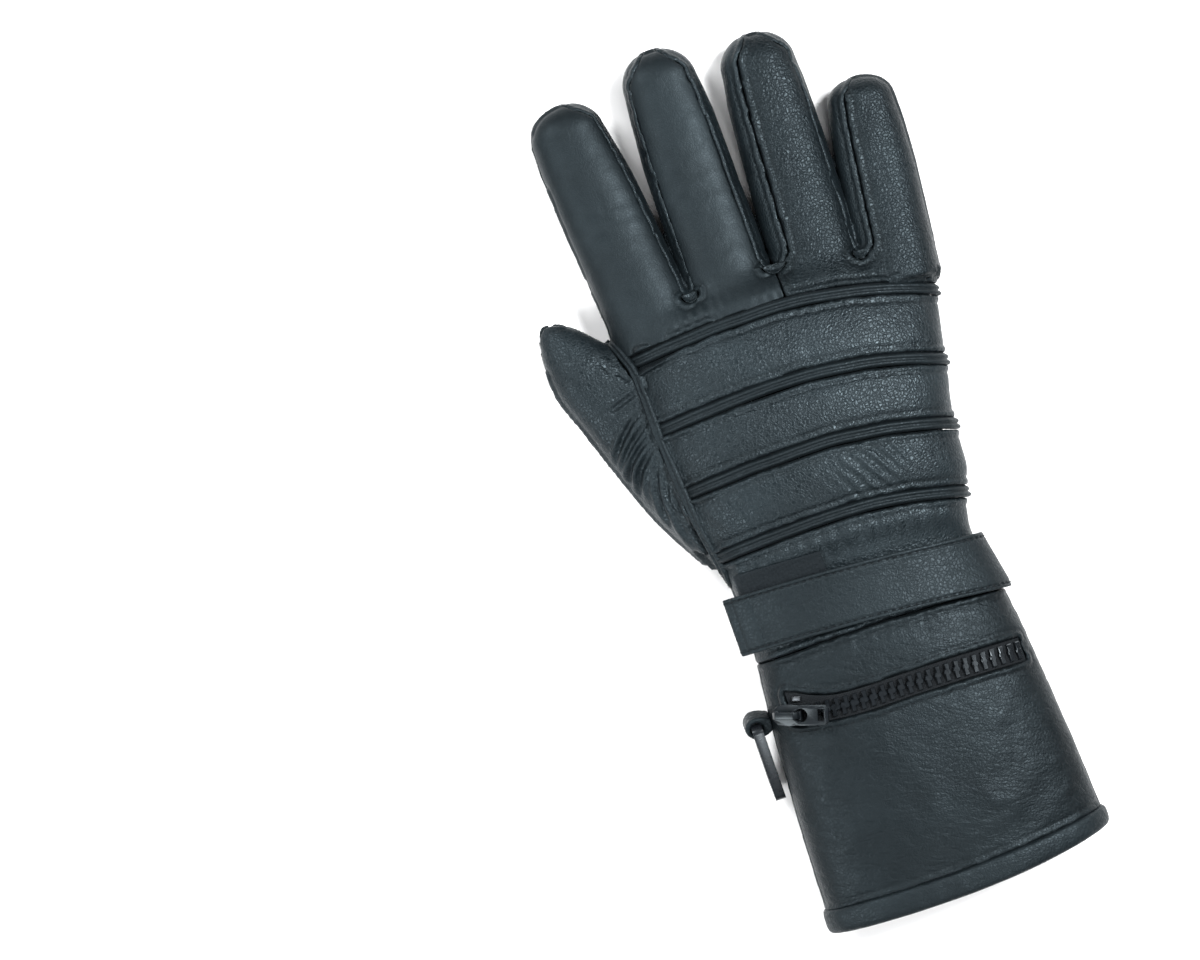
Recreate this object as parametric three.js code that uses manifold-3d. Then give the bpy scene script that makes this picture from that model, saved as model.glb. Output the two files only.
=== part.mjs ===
import * as THREE from "three";
import { mergeVertices } from "three/addons/utils/BufferGeometryUtils.js";
import Module from "manifold-3d";

// A right-hand motorcycle gauntlet that lies palm down, in millimetres.
// +Y runs to the fingertips, +X to the little finger and +Z up. The wrist line is y = 0 until the last step.
// In the tables, places along the hand are percent of handLength from the wrist to the first rib, and of
// cuffLength below the wrist. Places across it are percent of palmWidth, heights percent of handThickness.
const palmWidth = 100; // across the base of the thumb
const handLength = 100; // wrist line to the first rib
const cuffLength = 134;
const handThickness = 36;
const indexLength = 104; // from inside the knuckles to the tip, as are the next three
const middleLength = 112;
const ringLength = 105.5;
const littleLength = 80;
const fingerWidth = 34;
const littleWidth = 30.5;
const fingerThickness = 24;
const thumbWidth = 34;
const thumbThickness = 23;
const wall = 2.4; // leather with its padding
const gap = 0.3; // between two pieces that meet
const restDip = 0.7; // how much of the soft underside the surface flattens
const crotchSlit = 0.6;
const ribWidth = 4.8;
const ribHeight = 1.8;
const slantDrop = 28; // how far the ribs fall from the middle of the back to a palm width beyond it
const hemWidth = 9;
const hemBulge = 1.9;
const strapWidth = 22.6;
const strapThickness = 2.4;
const strapFreeEnd = 6; // how far the free end juts past the thumb side
const patchThickness = 0.7;
const patchLength = 34;
const patchPeek = 7.5; // how far the loop patch shows above the strap
const zipWindow = 9.4;
const tapeThickness = 1;
const toothPitch = 3.6; // of one row; the other row sits half a pitch along
const toothReach = 1.5;
const toothHeight = 1.4;
const toothCord = 1.5;
const sliderLength = 11;
const sliderWidth = 8.4;
const sliderThickness = 3.2;
const crownWidth = 2.7;
const crownClear = 2.6; // room under the crown for the tab's bar
const crownThickness = 1.1;
const tabLength = 14.5;
const tabWidth = 7.6;
const tabThickness = 1.3;
const tabEye = 2.6; // radius of the round eye
const tabBar = 1.5; // what is left of the tab round its window
const tabSlot = 2.6; // length of that window
const tabBarHalf = 0.65; // half of the bar that turns under the crown
const stopSize = 3;
const loopWidth = 8;
const loopEye = 2.7;
const loopWall = 1.5;
const loopSeat = 0.8; // how far the two layers of the loop stand apart at the seam, halved
const hookLength = 32;
const hookHeight = 14;
const hookWidth = 4;
const hookRod = 2.6;

const table = (names, rows) =>
  rows.map((row) => Object.fromEntries(names.map((name, i) => [name, row[i]])));

// slant: share of slantDrop. puff: share of ribHeight that the padding stands proud on the back.
const bodyRows = table(
  ["along", "left", "right", "high", "lift", "slant", "puff"],
  [
    [-100, -47.5, 63.6, 110, -2, -0.5, 0],
    [-93, -47.3, 63.6, 110, -1, -0.3, 0],
    [-75, -46.4, 62.8, 108, 3, 0, 0.3],
    [-54, -45, 60.7, 105, 5, 0.15, 0.25],
    [-38, -43.4, 59, 102, 5, 0.3, 0],
    [-30, -42.3, 57.8, 99, 5, 0.4, 0.5],
    [-20, -40.8, 55.8, 95, 5, 0.5, 0],
    [-13, -40, 54, 91, 5, 0.65, 0],
    [-6, -39.5, 52.5, 89, 5, 0.8, 0],
    [2, -40.2, 54, 90, 5, 1, 0.5],
    [9, -41.7, 56.5, 94, 5, 1, 1],
    [17, -43, 59, 97, 5, 1, 0],
    [24, -44.2, 59.7, 99, 5, 1, 0.9],
    [37, -46.1, 60.8, 101, 5, 1, 0.9],
    [44, -46.7, 62, 102, 5, 1, 0],
    [51, -47.1, 63.8, 102, 5, 1, 0.9],
    [63, -47.9, 66.2, 99, 5, 1, 0.9],
    [70, -48, 67.8, 98, 5, 1, 0],
    [77, -48, 69.5, 96, 5, 1, 0.9],
    [91, -48.3, 73, 91, 3, 1, 0.8],
    [98, -49, 75, 87, 2, 1, 0],
    [105, -50, 76, 82, 1, 1, 0.5],
    [115, -51.5, 77, 73, 1, 1, 0],
  ],
);
const sideRound = 2.4; // exponent of the rounded sections

// lean: degrees to the little finger. seams: how far the side strip's seams lie in, percent of the width.
const fingerRows = table(
  ["name", "across", "along", "lean", "length", "width", "leftSeam", "rightSeam"],
  [
    ["index", -33, 95, -5.5, indexLength, fingerWidth, 12, 12],
    ["middle", -2.5, 95, 0.3, middleLength, fingerWidth, 12, 16],
    ["ring", 31, 95, 3, ringLength, fingerWidth, 22, 12],
    ["little", 60, 92, 6.8, littleLength, littleWidth, 24, 12],
  ],
);
// Shares of the finger's length, width and thickness.
const fingerProfile = table(
  ["along", "wide", "high"],
  [
    [0, 0.93, 1.2],
    [0.18, 1, 1.13],
    [0.46, 0.985, 1],
    [0.74, 0.935, 0.94],
    [0.88, 0.845, 0.86],
    [0.95, 0.67, 0.68],
    [0.985, 0.4, 0.4],
  ],
);
const thumbAngle = 35; // degrees that the thumb turns away from the fingers
// wide and high: shares of thumbWidth and thumbThickness.
const thumbRows = table(
  ["across", "along", "wide", "high"],
  [
    [-20, 28, 1.7, 1.2],
    [-34, 47, 1.59, 1.2],
    [-47, 66, 1.29, 1.1],
    [-58, 83, 1, 1.02],
    [-66, 97, 0.82, 0.97],
    [-70, 104.5, 0.68, 0.9],
    [-73.5, 112, 0.49, 0.74],
    [-75.5, 118, 0.26, 0.4],
  ],
);
const thumbTip = { across: -76, along: 121 };

const ribPlaces = [98, 70, 44, 17];
const knuckleEnd = 115; // end of the palm between the fingers
const foldPlace = -20; // where the cuff is sewn to the back
const palmFoldPlace = -16.5; // and to the palm
// Seams as places across and along.
const thumbSideSeam = [
  [-58, 118], [-50.5, 106], [-47.5, 95], [-47.5, 80], [-47.6, 65],
  [-46.2, 45], [-44.5, 27], [-41.5, 12], [-47, 5],
];
const thumbPalmSeam = [
  [-60, 112], [-48, 97], [-34, 84], [-21, 73.5], [-10, 69], [-4, 60], [-1, 46], [4, 32], [8, 24],
  [4, 14.5], [-6, 5], [-17, -0.5], [-29, -2.5], [-60, -3],
];
const patchUpperSeam = [
  [-80, 94], [-44, 97.5], [-16, 101], [9, 98.5], [29, 96.5], [49, 96.5], [71, 93.5], [110, 88],
];
const patchLowerSeam = [
  [8.2, 24.6], [18, 23], [33, 21.5], [59, 18.5], [110, 16],
];
// Height of the side seams between back and palm, percent of handThickness.
const sideSeamRows = [
  [-130, 50], [-25, 46], [22, 33], [260, 33],
];

// The hollow has fewer sides and sections than the outside.
const skin = { bodySides: 24, fingerSides: 12, everySection: 1 };
const hollow = { bodySides: 14, fingerSides: 8, everySection: 3 };
const tall = 3 * handThickness;

const wasm = await Module();
wasm.setup();

const acrossMm = (share) => (share / 100) * palmWidth;
const alongMm = (share) => (share / 100) * (share < 0 ? cuffLength : handLength);
const alongShare = (y) => (100 * y) / (y < 0 ? cuffLength : handLength);
const spot = ([across, along]) => [acrossMm(across), alongMm(along)];
const clamp = (low, high, value) => Math.min(high, Math.max(low, value));
const mix = (a, b, share) => a + (b - a) * share;

// A smooth curve through one column of a table, read at a place in its first column.
function follow(rows, key, column) {
  const slopes = rows.map((row, i) => {
    const before = rows[Math.max(i - 1, 0)];
    const after = rows[Math.min(i + 1, rows.length - 1)];
    return (after[column] - before[column]) / (after[key] - before[key]);
  });
  return (place) => {
    const at = clamp(rows[0][key], rows.at(-1)[key], place);
    const next = Math.max(1, rows.findIndex((row) => row[key] >= at));
    const [a, b] = [rows[next - 1], rows[next]];
    const span = b[key] - a[key];
    const t = (at - a[key]) / span;
    return (
      (1 + 2 * t) * (1 - t) ** 2 * a[column] +
      t * (1 - t) ** 2 * span * slopes[next - 1] +
      t * t * (3 - 2 * t) * b[column] +
      t * t * (t - 1) * span * slopes[next]
    );
  };
}

const body = Object.fromEntries(
  ["left", "right", "high", "lift", "slant", "puff"].map((column) => [
    column,
    follow(bodyRows, "along", column),
  ]),
);

// How far a row of the back falls towards its two sides.
const slantAt = (row, x) =>
  -slantDrop * body.slant(row) * (x / palmWidth) ** 2 * (x < 0 ? 0.3 : 1);

// The section of the hand or cuff at a row, grown by an offset.
function sectionAt(row, offset) {
  const y = alongMm(row);
  const sideAt = (side) => {
    const first = acrossMm(side(row));
    return acrossMm(side(alongShare(y + slantAt(row, first))));
  };
  const [left, right] = [sideAt(body.left), sideAt(body.right)];
  const halfHeight = ((body.high(row) / 100) * handThickness) / 2;
  const under = (body.lift(row) / 100) * handThickness - restDip;
  return {
    centreX: (left + right) / 2,
    centreZ: under + halfHeight,
    halfWidth: (right - left) / 2 + offset,
    halfHeight: halfHeight + offset,
    puff: body.puff(row) * ribHeight,
  };
}

// A point of the rounded skin: turn 0 is the little finger's side, 90 the top.
function skinAt(row, turn, offset) {
  const section = sectionAt(row, offset);
  const angle = THREE.MathUtils.degToRad(turn);
  const round = (value) => Math.sign(value) * Math.abs(value) ** (2 / sideRound);
  const x = section.centreX + section.halfWidth * round(Math.cos(angle));
  const swell = offset < 0 ? 0 : section.puff * Math.max(0, Math.sin(angle)) ** 0.5;
  const z = section.centreZ + section.halfHeight * round(Math.sin(angle)) + swell;
  return new THREE.Vector3(x, alongMm(row) + slantAt(row, x), z);
}

// The row that passes a place on the back.
function rowAt(x, y) {
  let row = alongShare(y);
  for (let i = 0; i < 4; i++) row = alongShare(y - slantAt(row, x));
  return row;
}

// Height of the skin over a place on the back.
function topAt(x, y, offset) {
  const section = sectionAt(rowAt(x, y), offset);
  const off = Math.min(0.995, Math.abs(x - section.centreX) / section.halfWidth);
  const arch = (1 - off ** sideRound) ** (1 / sideRound);
  return section.centreZ + section.halfHeight * arch + section.puff * arch ** 0.6;
}

// A closed solid from vertices and triangles, turned right side out.
function solidOf(points, triangles) {
  const make = (triVerts) =>
    new wasm.Manifold(
      new wasm.Mesh({
        numProp: 3,
        vertProperties: new Float32Array(points.flatMap((p) => p.toArray())),
        triVerts: new Uint32Array(triVerts.flat()),
      }),
    );
  const made = make(triangles);
  return made.volume() > 0 ? made : make(triangles.map(([a, b, c]) => [a, c, b]));
}

function geometryOf(solid) {
  const { vertProperties, triVerts } = solid.getMesh();
  return new THREE.BufferGeometry()
    .setAttribute("position", new THREE.BufferAttribute(vertProperties, 3))
    .setIndex(new THREE.BufferAttribute(triVerts, 1));
}

function solidFrom(geometry) {
  const bare = geometry.clone();
  bare.deleteAttribute("normal");
  bare.deleteAttribute("uv");
  const merged = mergeVertices(bare);
  return new wasm.Manifold(
    new wasm.Mesh({
      numProp: 3,
      vertProperties: merged.attributes.position.array,
      triVerts: new Uint32Array(merged.index.array),
    }),
  );
}

// Rings of points joined into a tube with an end cap at each end; a pole may take the place of the last cap.
function tubeOf(rings, pole) {
  const sides = rings[0].length;
  const middle = (ring) =>
    ring.reduce((sum, p) => sum.add(p), new THREE.Vector3()).divideScalar(sides);
  const points = rings.flat();
  const [start, end] = [points.length, points.length + 1];
  points.push(middle(rings[0]), pole ?? middle(rings.at(-1)));
  const triangles = [];
  for (let k = 0; k < sides; k++) {
    const next = (k + 1) % sides;
    const last = (rings.length - 1) * sides;
    triangles.push([start, k, next], [end, last + next, last + k]);
    for (let i = 0; i < rings.length - 1; i++) {
      const [a, b] = [i * sides, (i + 1) * sides];
      triangles.push([a + k, b + k, b + next], [a + k, b + next, a + next]);
    }
  }
  return solidOf(points, triangles);
}

// Closed rings joined round a ring, as a band is.
function hoopOf(rings) {
  const sides = rings[0].length;
  const triangles = [];
  rings.forEach((_, i) => {
    const [a, b] = [i * sides, ((i + 1) % rings.length) * sides];
    for (let k = 0; k < sides; k++) {
      const next = (k + 1) % sides;
      triangles.push([a + k, b + k, b + next], [a + k, b + next, a + next]);
    }
  });
  return solidOf(rings.flat(), triangles);
}

// A sheet from a grid of points over a second one.
const sheetOf = (over, under) =>
  tubeOf(over.map((row, i) => [...row, ...under[i].toReversed()]));

// An upright prism over an outline.
function prismOf(outline) {
  const shape = new THREE.Shape(outline.map(([x, y]) => new THREE.Vector2(x, y)));
  const geometry = new THREE.ExtrudeGeometry(shape, { depth: 2 * tall, bevelEnabled: false });
  return solidFrom(geometry.translate(0, 0, -tall));
}

// A prism that follows a line of places at a given width.
function stripOf(places, width) {
  const side = (sign) =>
    places.map(([x, y], i) => {
      const [x0, y0] = places[Math.max(i - 1, 0)];
      const [x1, y1] = places[Math.min(i + 1, places.length - 1)];
      const away = (sign * width) / 2 / Math.hypot(x1 - x0, y1 - y0);
      return [x - (y1 - y0) * away, y + (x1 - x0) * away];
    });
  return prismOf([...side(1), ...side(-1).toReversed()]);
}

// The prism between two rows of the back, each moved by a few millimetres.
const acrossSteps = [-80, -44, -16, 12, 34, 52, 68, 84].map(acrossMm);
function bandOf(low, high, lowMove, highMove) {
  const edge = (row, move) =>
    acrossSteps.map((x) => [x, alongMm(row) + slantAt(row, x) + move]);
  return prismOf([...edge(low, lowMove), ...edge(high, highMove).toReversed()]);
}

// Everything below the side seams, moved up or down.
function underSeams(move) {
  const seam = sideSeamRows.map(([along, high]) => [
    alongMm(along),
    (high / 100) * handThickness + move,
  ]);
  const outline = [...seam, [seam.at(-1)[0], -tall], [seam[0][0], -tall]];
  const shape = new THREE.Shape(outline.map(([y, z]) => new THREE.Vector2(y, z)));
  const geometry = new THREE.ExtrudeGeometry(shape, { depth: 4 * palmWidth, bevelEnabled: false });
  const turn = new THREE.Matrix4().makeBasis(
    new THREE.Vector3(0, 1, 0),
    new THREE.Vector3(0, 0, 1),
    new THREE.Vector3(1, 0, 0),
  );
  return solidFrom(geometry.applyMatrix4(turn).translate(-2 * palmWidth, 0, 0));
}

const largest = (solid) =>
  solid.decompose().reduce((best, next) => (next.volume() > best.volume() ? next : best));

const unionOf = (solids) => solids.reduce((sum, next) => sum.add(next));
const without = (solid, cuts) => cuts.reduce((rest, cut) => rest.subtract(cut), solid);

const thinned = (rows, every) =>
  rows.filter((_, i) => i % every === 0 || i === rows.length - 1);

// Hand and cuff. Its mouth may run on past the hem, so that the hollow opens there.
function bodySolid(offset, mesh, mouth = 0) {
  const rings = thinned(bodyRows, mesh.everySection).map(({ along }) => {
    let row = along;
    if (along === bodyRows.at(-1).along) row += (100 * offset) / handLength;
    if (along === bodyRows[0].along) row -= (100 * mouth) / cuffLength;
    return Array.from({ length: mesh.bodySides }, (_, k) =>
      skinAt(row, (360 * k) / mesh.bodySides, offset),
    );
  });
  return tubeOf(rings);
}

// The place on a finger's middle line, with the direction across it.
function fingerAt(finger, share) {
  const lean = THREE.MathUtils.degToRad(finger.lean);
  const [x, y] = spot([finger.across, finger.along]);
  const reach = share * finger.length;
  return {
    x: x + reach * Math.sin(lean),
    y: y + reach * Math.cos(lean),
    side: new THREE.Vector3(Math.cos(lean), -Math.sin(lean), 0),
  };
}

function ovalAt(sides, centre, side, halfWidth, halfHeight) {
  const round = (value) => Math.sign(value) * Math.abs(value) ** (2 / sideRound);
  return Array.from({ length: sides }, (_, k) => {
    const angle = (2 * Math.PI * k) / sides;
    return centre
      .clone()
      .addScaledVector(side, halfWidth * round(Math.cos(angle)))
      .setZ(centre.z + halfHeight * round(Math.sin(angle)));
  });
}

function fingerSolid(finger, offset, mesh) {
  const grow = 1 + offset / (finger.width / 2);
  const rise = 1 + offset / (fingerThickness / 2);
  const shorten = 1 + offset / finger.length;
  const place = (share) => {
    const at = fingerAt(finger, share * shorten);
    const z = (fingerThickness / 2) * fingerLift(share) - restDip;
    return { side: at.side, centre: new THREE.Vector3(at.x, at.y, z) };
  };
  const rows = thinned(fingerProfile, Math.min(2, mesh.everySection));
  const rings = rows.map(({ along, wide, high }) => {
    const { centre, side } = place(along);
    const halfWidth = (wide * finger.width * grow) / 2;
    const halfHeight = (high * fingerThickness * rise) / 2;
    return ovalAt(mesh.fingerSides, centre, side, halfWidth, halfHeight);
  });
  return tubeOf(rings, place(1).centre);
}

// The tips curl up a little, so their middle stays near the height of the finger's.
const fingerHigh = follow(fingerProfile, "along", "high");
const fingerLift = (share) => Math.max(0.93, fingerHigh(share));

function thumbSolid(offset, mesh) {
  const angle = THREE.MathUtils.degToRad(thumbAngle);
  const side = new THREE.Vector3(Math.cos(angle), Math.sin(angle), 0);
  const grow = 1 + offset / (thumbWidth / 2);
  const rise = 1 + offset / (thumbThickness / 2);
  const centreZ = thumbThickness / 2 - restDip;
  const rings = thumbRows.map(({ across, along, wide, high }) => {
    const centre = new THREE.Vector3(...spot([across, along]), centreZ * Math.max(1, high));
    const halfWidth = (wide * thumbWidth * grow) / 2;
    const halfHeight = (high * thumbThickness * rise) / 2;
    return ovalAt(mesh.fingerSides, centre, side, halfWidth, halfHeight);
  });
  const [x, y] = spot([thumbTip.across, thumbTip.along]);
  const back = new THREE.Vector3(Math.sin(angle), -Math.cos(angle), 0).multiplyScalar(-offset);
  return tubeOf(rings, new THREE.Vector3(x, y, centreZ).add(back));
}

// Where two neighbouring fingers meet at the end of the palm, and further up between them.
function crotchOf(left, right) {
  const meet = (share) => {
    const [a, b] = [fingerAt(left, share), fingerAt(right, share)];
    const [x0, x1] = [a.x + left.width / 2, b.x - right.width / 2];
    return [(x0 + x1) / 2, (a.y + b.y) / 2];
  };
  const [low, high] = [meet(0.1), meet(0.55)];
  const y = alongMm(knuckleEnd) + slantAt(knuckleEnd, low[0]);
  const across = (place) => mix(low[0], high[0], (place - low[1]) / (high[1] - low[1]));
  return { low: [across(y), y], high: [across(y + fingerWidth), y + fingerWidth] };
}

const crotches = [0, 1, 2].map((i) => crotchOf(fingerRows[i], fingerRows[i + 1]));

function slitsOf(width, early) {
  return crotches.map(({ low, high }) => stripOf([[low[0], low[1] - early], high], width));
}

const floor = prismOf([
  [-4 * palmWidth, -4 * palmWidth], [4 * palmWidth, -4 * palmWidth],
  [4 * palmWidth, 4 * palmWidth], [-4 * palmWidth, 4 * palmWidth],
]).translate(0, 0, -tall);

const handSolid = (offset, mesh, mouth) =>
  unionOf([
    bodySolid(offset, mesh, mouth),
    ...fingerRows.map((row) => fingerSolid(row, offset, mesh)),
    thumbSolid(offset, mesh),
  ]);
const outside = without(handSolid(0, skin, 0), [...slitsOf(crotchSlit, 0), floor]);
const inside = without(
  handSolid(-wall, hollow, hemWidth),
  slitsOf(crotchSlit + 2 * wall, wall),
);
const hemPlace = bodyRows[0].along + (100 * hemWidth) / cuffLength;
const shell = outside.subtract(inside);

// Side strips between two fingers, from seam to seam and round the crotch
function stripBetween(index, grow) {
  const [left, right] = [fingerRows[index], fingerRows[index + 1]];
  const { low } = crotches[index];
  const wide = follow(fingerProfile, "along", "wide");
  const seamOf = (finger, sign, inset) =>
    [0.2, 0.36, 0.52, 0.68, 0.8, 0.9].map((share) => {
      const at = fingerAt(finger, share);
      const out = wide(share) * finger.width * (0.5 - inset / 100) - grow;
      return [at.x + sign * out * at.side.x, at.y + sign * out * at.side.y];
    });
  const tipOf = (finger) => {
    const at = fingerAt(finger, 1);
    return [at.x, at.y];
  };
  const [leftTip, rightTip] = [tipOf(left), tipOf(right)];
  const beyond = Math.max(leftTip[1], rightTip[1]) + fingerWidth;
  const start = low[1] - 2 * wall - grow;
  const mouth = fingerWidth * 0.1 + grow;
  return prismOf([
    [low[0] - mouth, start],
    ...seamOf(left, 1, left.rightSeam).filter(([, y]) => y > start + mouth),
    leftTip,
    [leftTip[0], beyond],
    [rightTip[0], beyond],
    rightTip,
    ...seamOf(right, -1, right.leftSeam).filter(([, y]) => y > start + mouth).toReversed(),
    [low[0] + mouth, start],
  ]);
}

const fourchetteNames = ["index_middle", "middle_ring", "ring_little"];
const fourchettes = fourchetteNames.map((_, i) =>
  largest(shell.intersect(stripBetween(i, -gap / 2))),
);

// Leather panels of the back, between the double ribs
const farLeft = -2 * palmWidth;
const strips = fourchetteNames.map((_, i) => stripBetween(i, gap / 2));
const panels = without(shell, [...strips, bandOf(bodyRows[0].along - 20, hemPlace, 0, gap / 2)]);
const upper = panels.subtract(underSeams(gap / 2));
const lower = panels.intersect(underSeams(-gap / 2));

// The prism on the thumb's side of a seam, moved across by a few millimetres.
function thumbZone(seam, move) {
  const line = seam.map(spot).map(([x, y]) => [x + move, y]);
  const top = line[0][1] + fingerWidth;
  return prismOf([[line[0][0], top], ...line, [farLeft, line.at(-1)[1]], [farLeft, top]]);
}
const thumbBack = largest(upper.intersect(thumbZone(thumbSideSeam, -gap / 2)));
const back = upper.subtract(thumbZone(thumbSideSeam, gap / 2));
const ribSide = ribWidth / 2 + gap / 2;
const knucklePanels = ribPlaces
  .slice(1)
  .map((place, i) => largest(back.intersect(bandOf(place, ribPlaces[i], ribSide, -ribSide))));
const lastRib = ribPlaces.at(-1);
const backWrist = largest(back.intersect(bandOf(foldPlace, lastRib, gap / 2, -ribSide)));
const fingerBacks = back
  .intersect(bandOf(ribPlaces[0], 4 * knuckleEnd, ribSide, 0))
  .subtract(
    stripOf(
      [
        [crotches[1].low[0], alongMm(ribPlaces[0] - ribWidth)],
        [crotches[1].low[0], crotches[1].low[1]],
      ],
      gap,
    ),
  )
  .decompose()
  .sort((a, b) => b.volume() - a.volume())
  .slice(0, 2)
  .sort((a, b) => a.boundingBox().min[0] - b.boundingBox().min[0]);

// Two raised welts with a groove between them, swept over the back from side to side.
function ribSolid(place) {
  const section = [
    [-0.7, -wall], [-0.7, ribHeight], [-0.15, ribHeight], [0, 0.4 * ribHeight],
    [0.15, ribHeight], [0.7, ribHeight], [0.7, -wall],
  ];
  const turns = [-12, 6, 18, 34, 52, 72, 90, 108, 128, 146, 162, 174, 192];
  const rings = turns.map((turn) =>
    section.map(([share, offset]) =>
      skinAt(place, turn, offset).add(new THREE.Vector3(0, share * ribWidth, 0)),
    ),
  );
  const half = ribWidth / 2 - gap / 2;
  const side = [underSeams(gap / 2), thumbZone(thumbSideSeam, gap / 2), floor];
  return largest(without(tubeOf(rings).intersect(bandOf(place, place, -half, half)), side));
}

// Leather panels of the palm
const palm = lower.subtract(thumbZone(thumbPalmSeam, gap / 2));
const thumbFront = largest(lower.intersect(thumbZone(thumbPalmSeam, -gap / 2)));
const beyondSeam = (seam, move) => {
  const line = [[-150, seam[0][1]], ...seam, [150, seam.at(-1)[1]]].map(spot);
  const top = 4 * handLength;
  return prismOf([...line.map(([x, y]) => [x, y + move]), [line.at(-1)[0], top], [line[0][0], top]]);
};
const palmFingers = largest(palm.intersect(beyondSeam(patchUpperSeam, gap / 2)));
const belowFingers = palm.subtract(beyondSeam(patchUpperSeam, -gap / 2));
const palmPatch = largest(belowFingers.intersect(beyondSeam(patchLowerSeam, gap / 2)));
const palmHeel = largest(
  belowFingers
    .subtract(beyondSeam(patchLowerSeam, -gap / 2))
    .intersect(bandOf(palmFoldPlace, knuckleEnd, gap / 2, 0)),
);
const cuffPalm = largest(lower.intersect(bandOf(hemPlace - 1, palmFoldPlace, 0, -gap / 2)));

// The rolled band round the mouth: each section is a loop of rows and offsets.
function hemSolid() {
  const inner = -wall - 0.6;
  const loop = [
    [0, 0.4], [0.25, 1], [0.7, 1], [1, 0.4],
  ].map(([share, out]) => [mix(bodyRows[0].along, hemPlace, share), out * hemBulge]);
  const section = [...loop, [hemPlace, inner], [bodyRows[0].along, inner]];
  const rings = Array.from({ length: skin.bodySides }, (_, k) =>
    section.map(([row, offset]) => skinAt(row, (360 * k) / skin.bodySides, offset)),
  );
  return hoopOf(rings).subtract(floor);
}

// Zip: its window, tape and two rows of teeth
const zipPlace = -39;
const zipEnds = [-35.5, 55];
const teethEnds = [-29.5, 53];
const zipRise = 30;
const zipFlare = 4.5;
const zipCentre = (x) =>
  alongMm(zipPlace) + slantAt(zipPlace, x) + (x < 0 ? zipRise * (x / palmWidth) ** 2 : 0);
const zipAbove = (x) =>
  zipWindow / 2 + zipFlare * clamp(0, 1, (-x / palmWidth - 0.15) / 0.18) ** 2;

const zipSteps = (from, to, count) =>
  Array.from({ length: count + 1 }, (_, i) => mix(acrossMm(from), acrossMm(to), i / count));

// The outline of the window, drawn in by a clearance.
function windowOutline(inset) {
  const steps = zipSteps(...zipEnds, 12);
  const ends = (x, i) => x + (i === 0 ? inset : 0) - (i === steps.length - 1 ? inset : 0);
  const edge = (height) => steps.map((x, i) => [ends(x, i), zipCentre(x) + height(x)]);
  return [
    ...edge((x) => zipAbove(x) - inset),
    ...edge(() => inset - zipWindow / 2).toReversed(),
  ];
}

// A curved slab that follows the back between two offsets, long enough for the window.
function slabOver(high, low) {
  const steps = zipSteps(zipEnds[0] - 2, zipEnds[1] + 1, 10);
  const lines = [-1.2, 0.4, 2.2].map((share) => (share * zipWindow) / 2);
  const grid = (offset) =>
    steps.map((x) =>
      lines.map((line) => {
        const y = zipCentre(x) + line;
        return new THREE.Vector3(x, y, topAt(x, y, offset));
      }),
    );
  return sheetOf(grid(high), grid(low));
}

const tapeTop = -0.8;
const cuffBack = largest(
  back
    .intersect(bandOf(hemPlace - 1, foldPlace, 0, -gap / 2))
    .subtract(prismOf(windowOutline(0))),
);
const zipTape = slabOver(tapeTop, tapeTop - tapeThickness).intersect(
  prismOf(windowOutline(gap)),
);

// One row of teeth on its cord; sign 1 is the row nearer the hand.
function teethSolid(sign) {
  const [start, end] = teethEnds.map(acrossMm);
  const half = toothPitch / 4 - gap / 2;
  const shift = sign > 0 ? toothPitch / 4 : (3 * toothPitch) / 4;
  const line = (x, away) => [x, zipCentre(x) + sign * away];
  const edge = [line(start, toothReach)];
  for (let x = start + shift; x + half < end; x += toothPitch) {
    edge.push(line(x - half, toothReach), line(x - half, gap - toothReach));
    edge.push(line(x + half, gap - toothReach), line(x + half, toothReach));
  }
  edge.push(line(end, toothReach));
  const outer = zipSteps(...teethEnds, 8).map((x) => line(x, toothReach + toothCord));
  const comb = prismOf([...edge, ...outer.toReversed()]);
  return largest(slabOver(tapeTop + gap + toothHeight, tapeTop + gap).intersect(comb));
}

const stopAcross = -32;
function stopSolid() {
  const x = acrossMm(stopAcross);
  const y = zipCentre(x) + zipAbove(x) - stopSize;
  const [a, b] = [stopSize / 2, stopSize / 3];
  const outline = [[-a, -b], [a, -b], [a, b], [-a, b]].map(([u, v]) => [
    x + u + v * 0.3,
    y + v - u * 0.3,
  ]);
  return largest(slabOver(tapeTop + gap + 1.2, tapeTop + gap).intersect(prismOf(outline)));
}

// Strap: a sheet over the wrist whose sewn end turns down to the little finger's side
const strapPlace = -10; // its middle at the middle of the back
const strapFall = -0.075; // how it leans, and how that grows to the little finger's side
const strapCurve = -0.06;
const seatOnWrist = 2 * gap; // the panel's facets rise a little between its sections
const strapLine = (x, share) =>
  alongMm(strapPlace) + strapFall * x + (strapCurve * x * x) / palmWidth + share * strapWidth;

function strapPoint(turn, share, offset) {
  let point = skinAt(strapPlace, turn, offset);
  for (let i = 0; i < 4; i++) {
    const row = rowAt(point.x, strapLine(point.x, share));
    point = skinAt(row, turn, offset);
  }
  return point;
}

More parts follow.
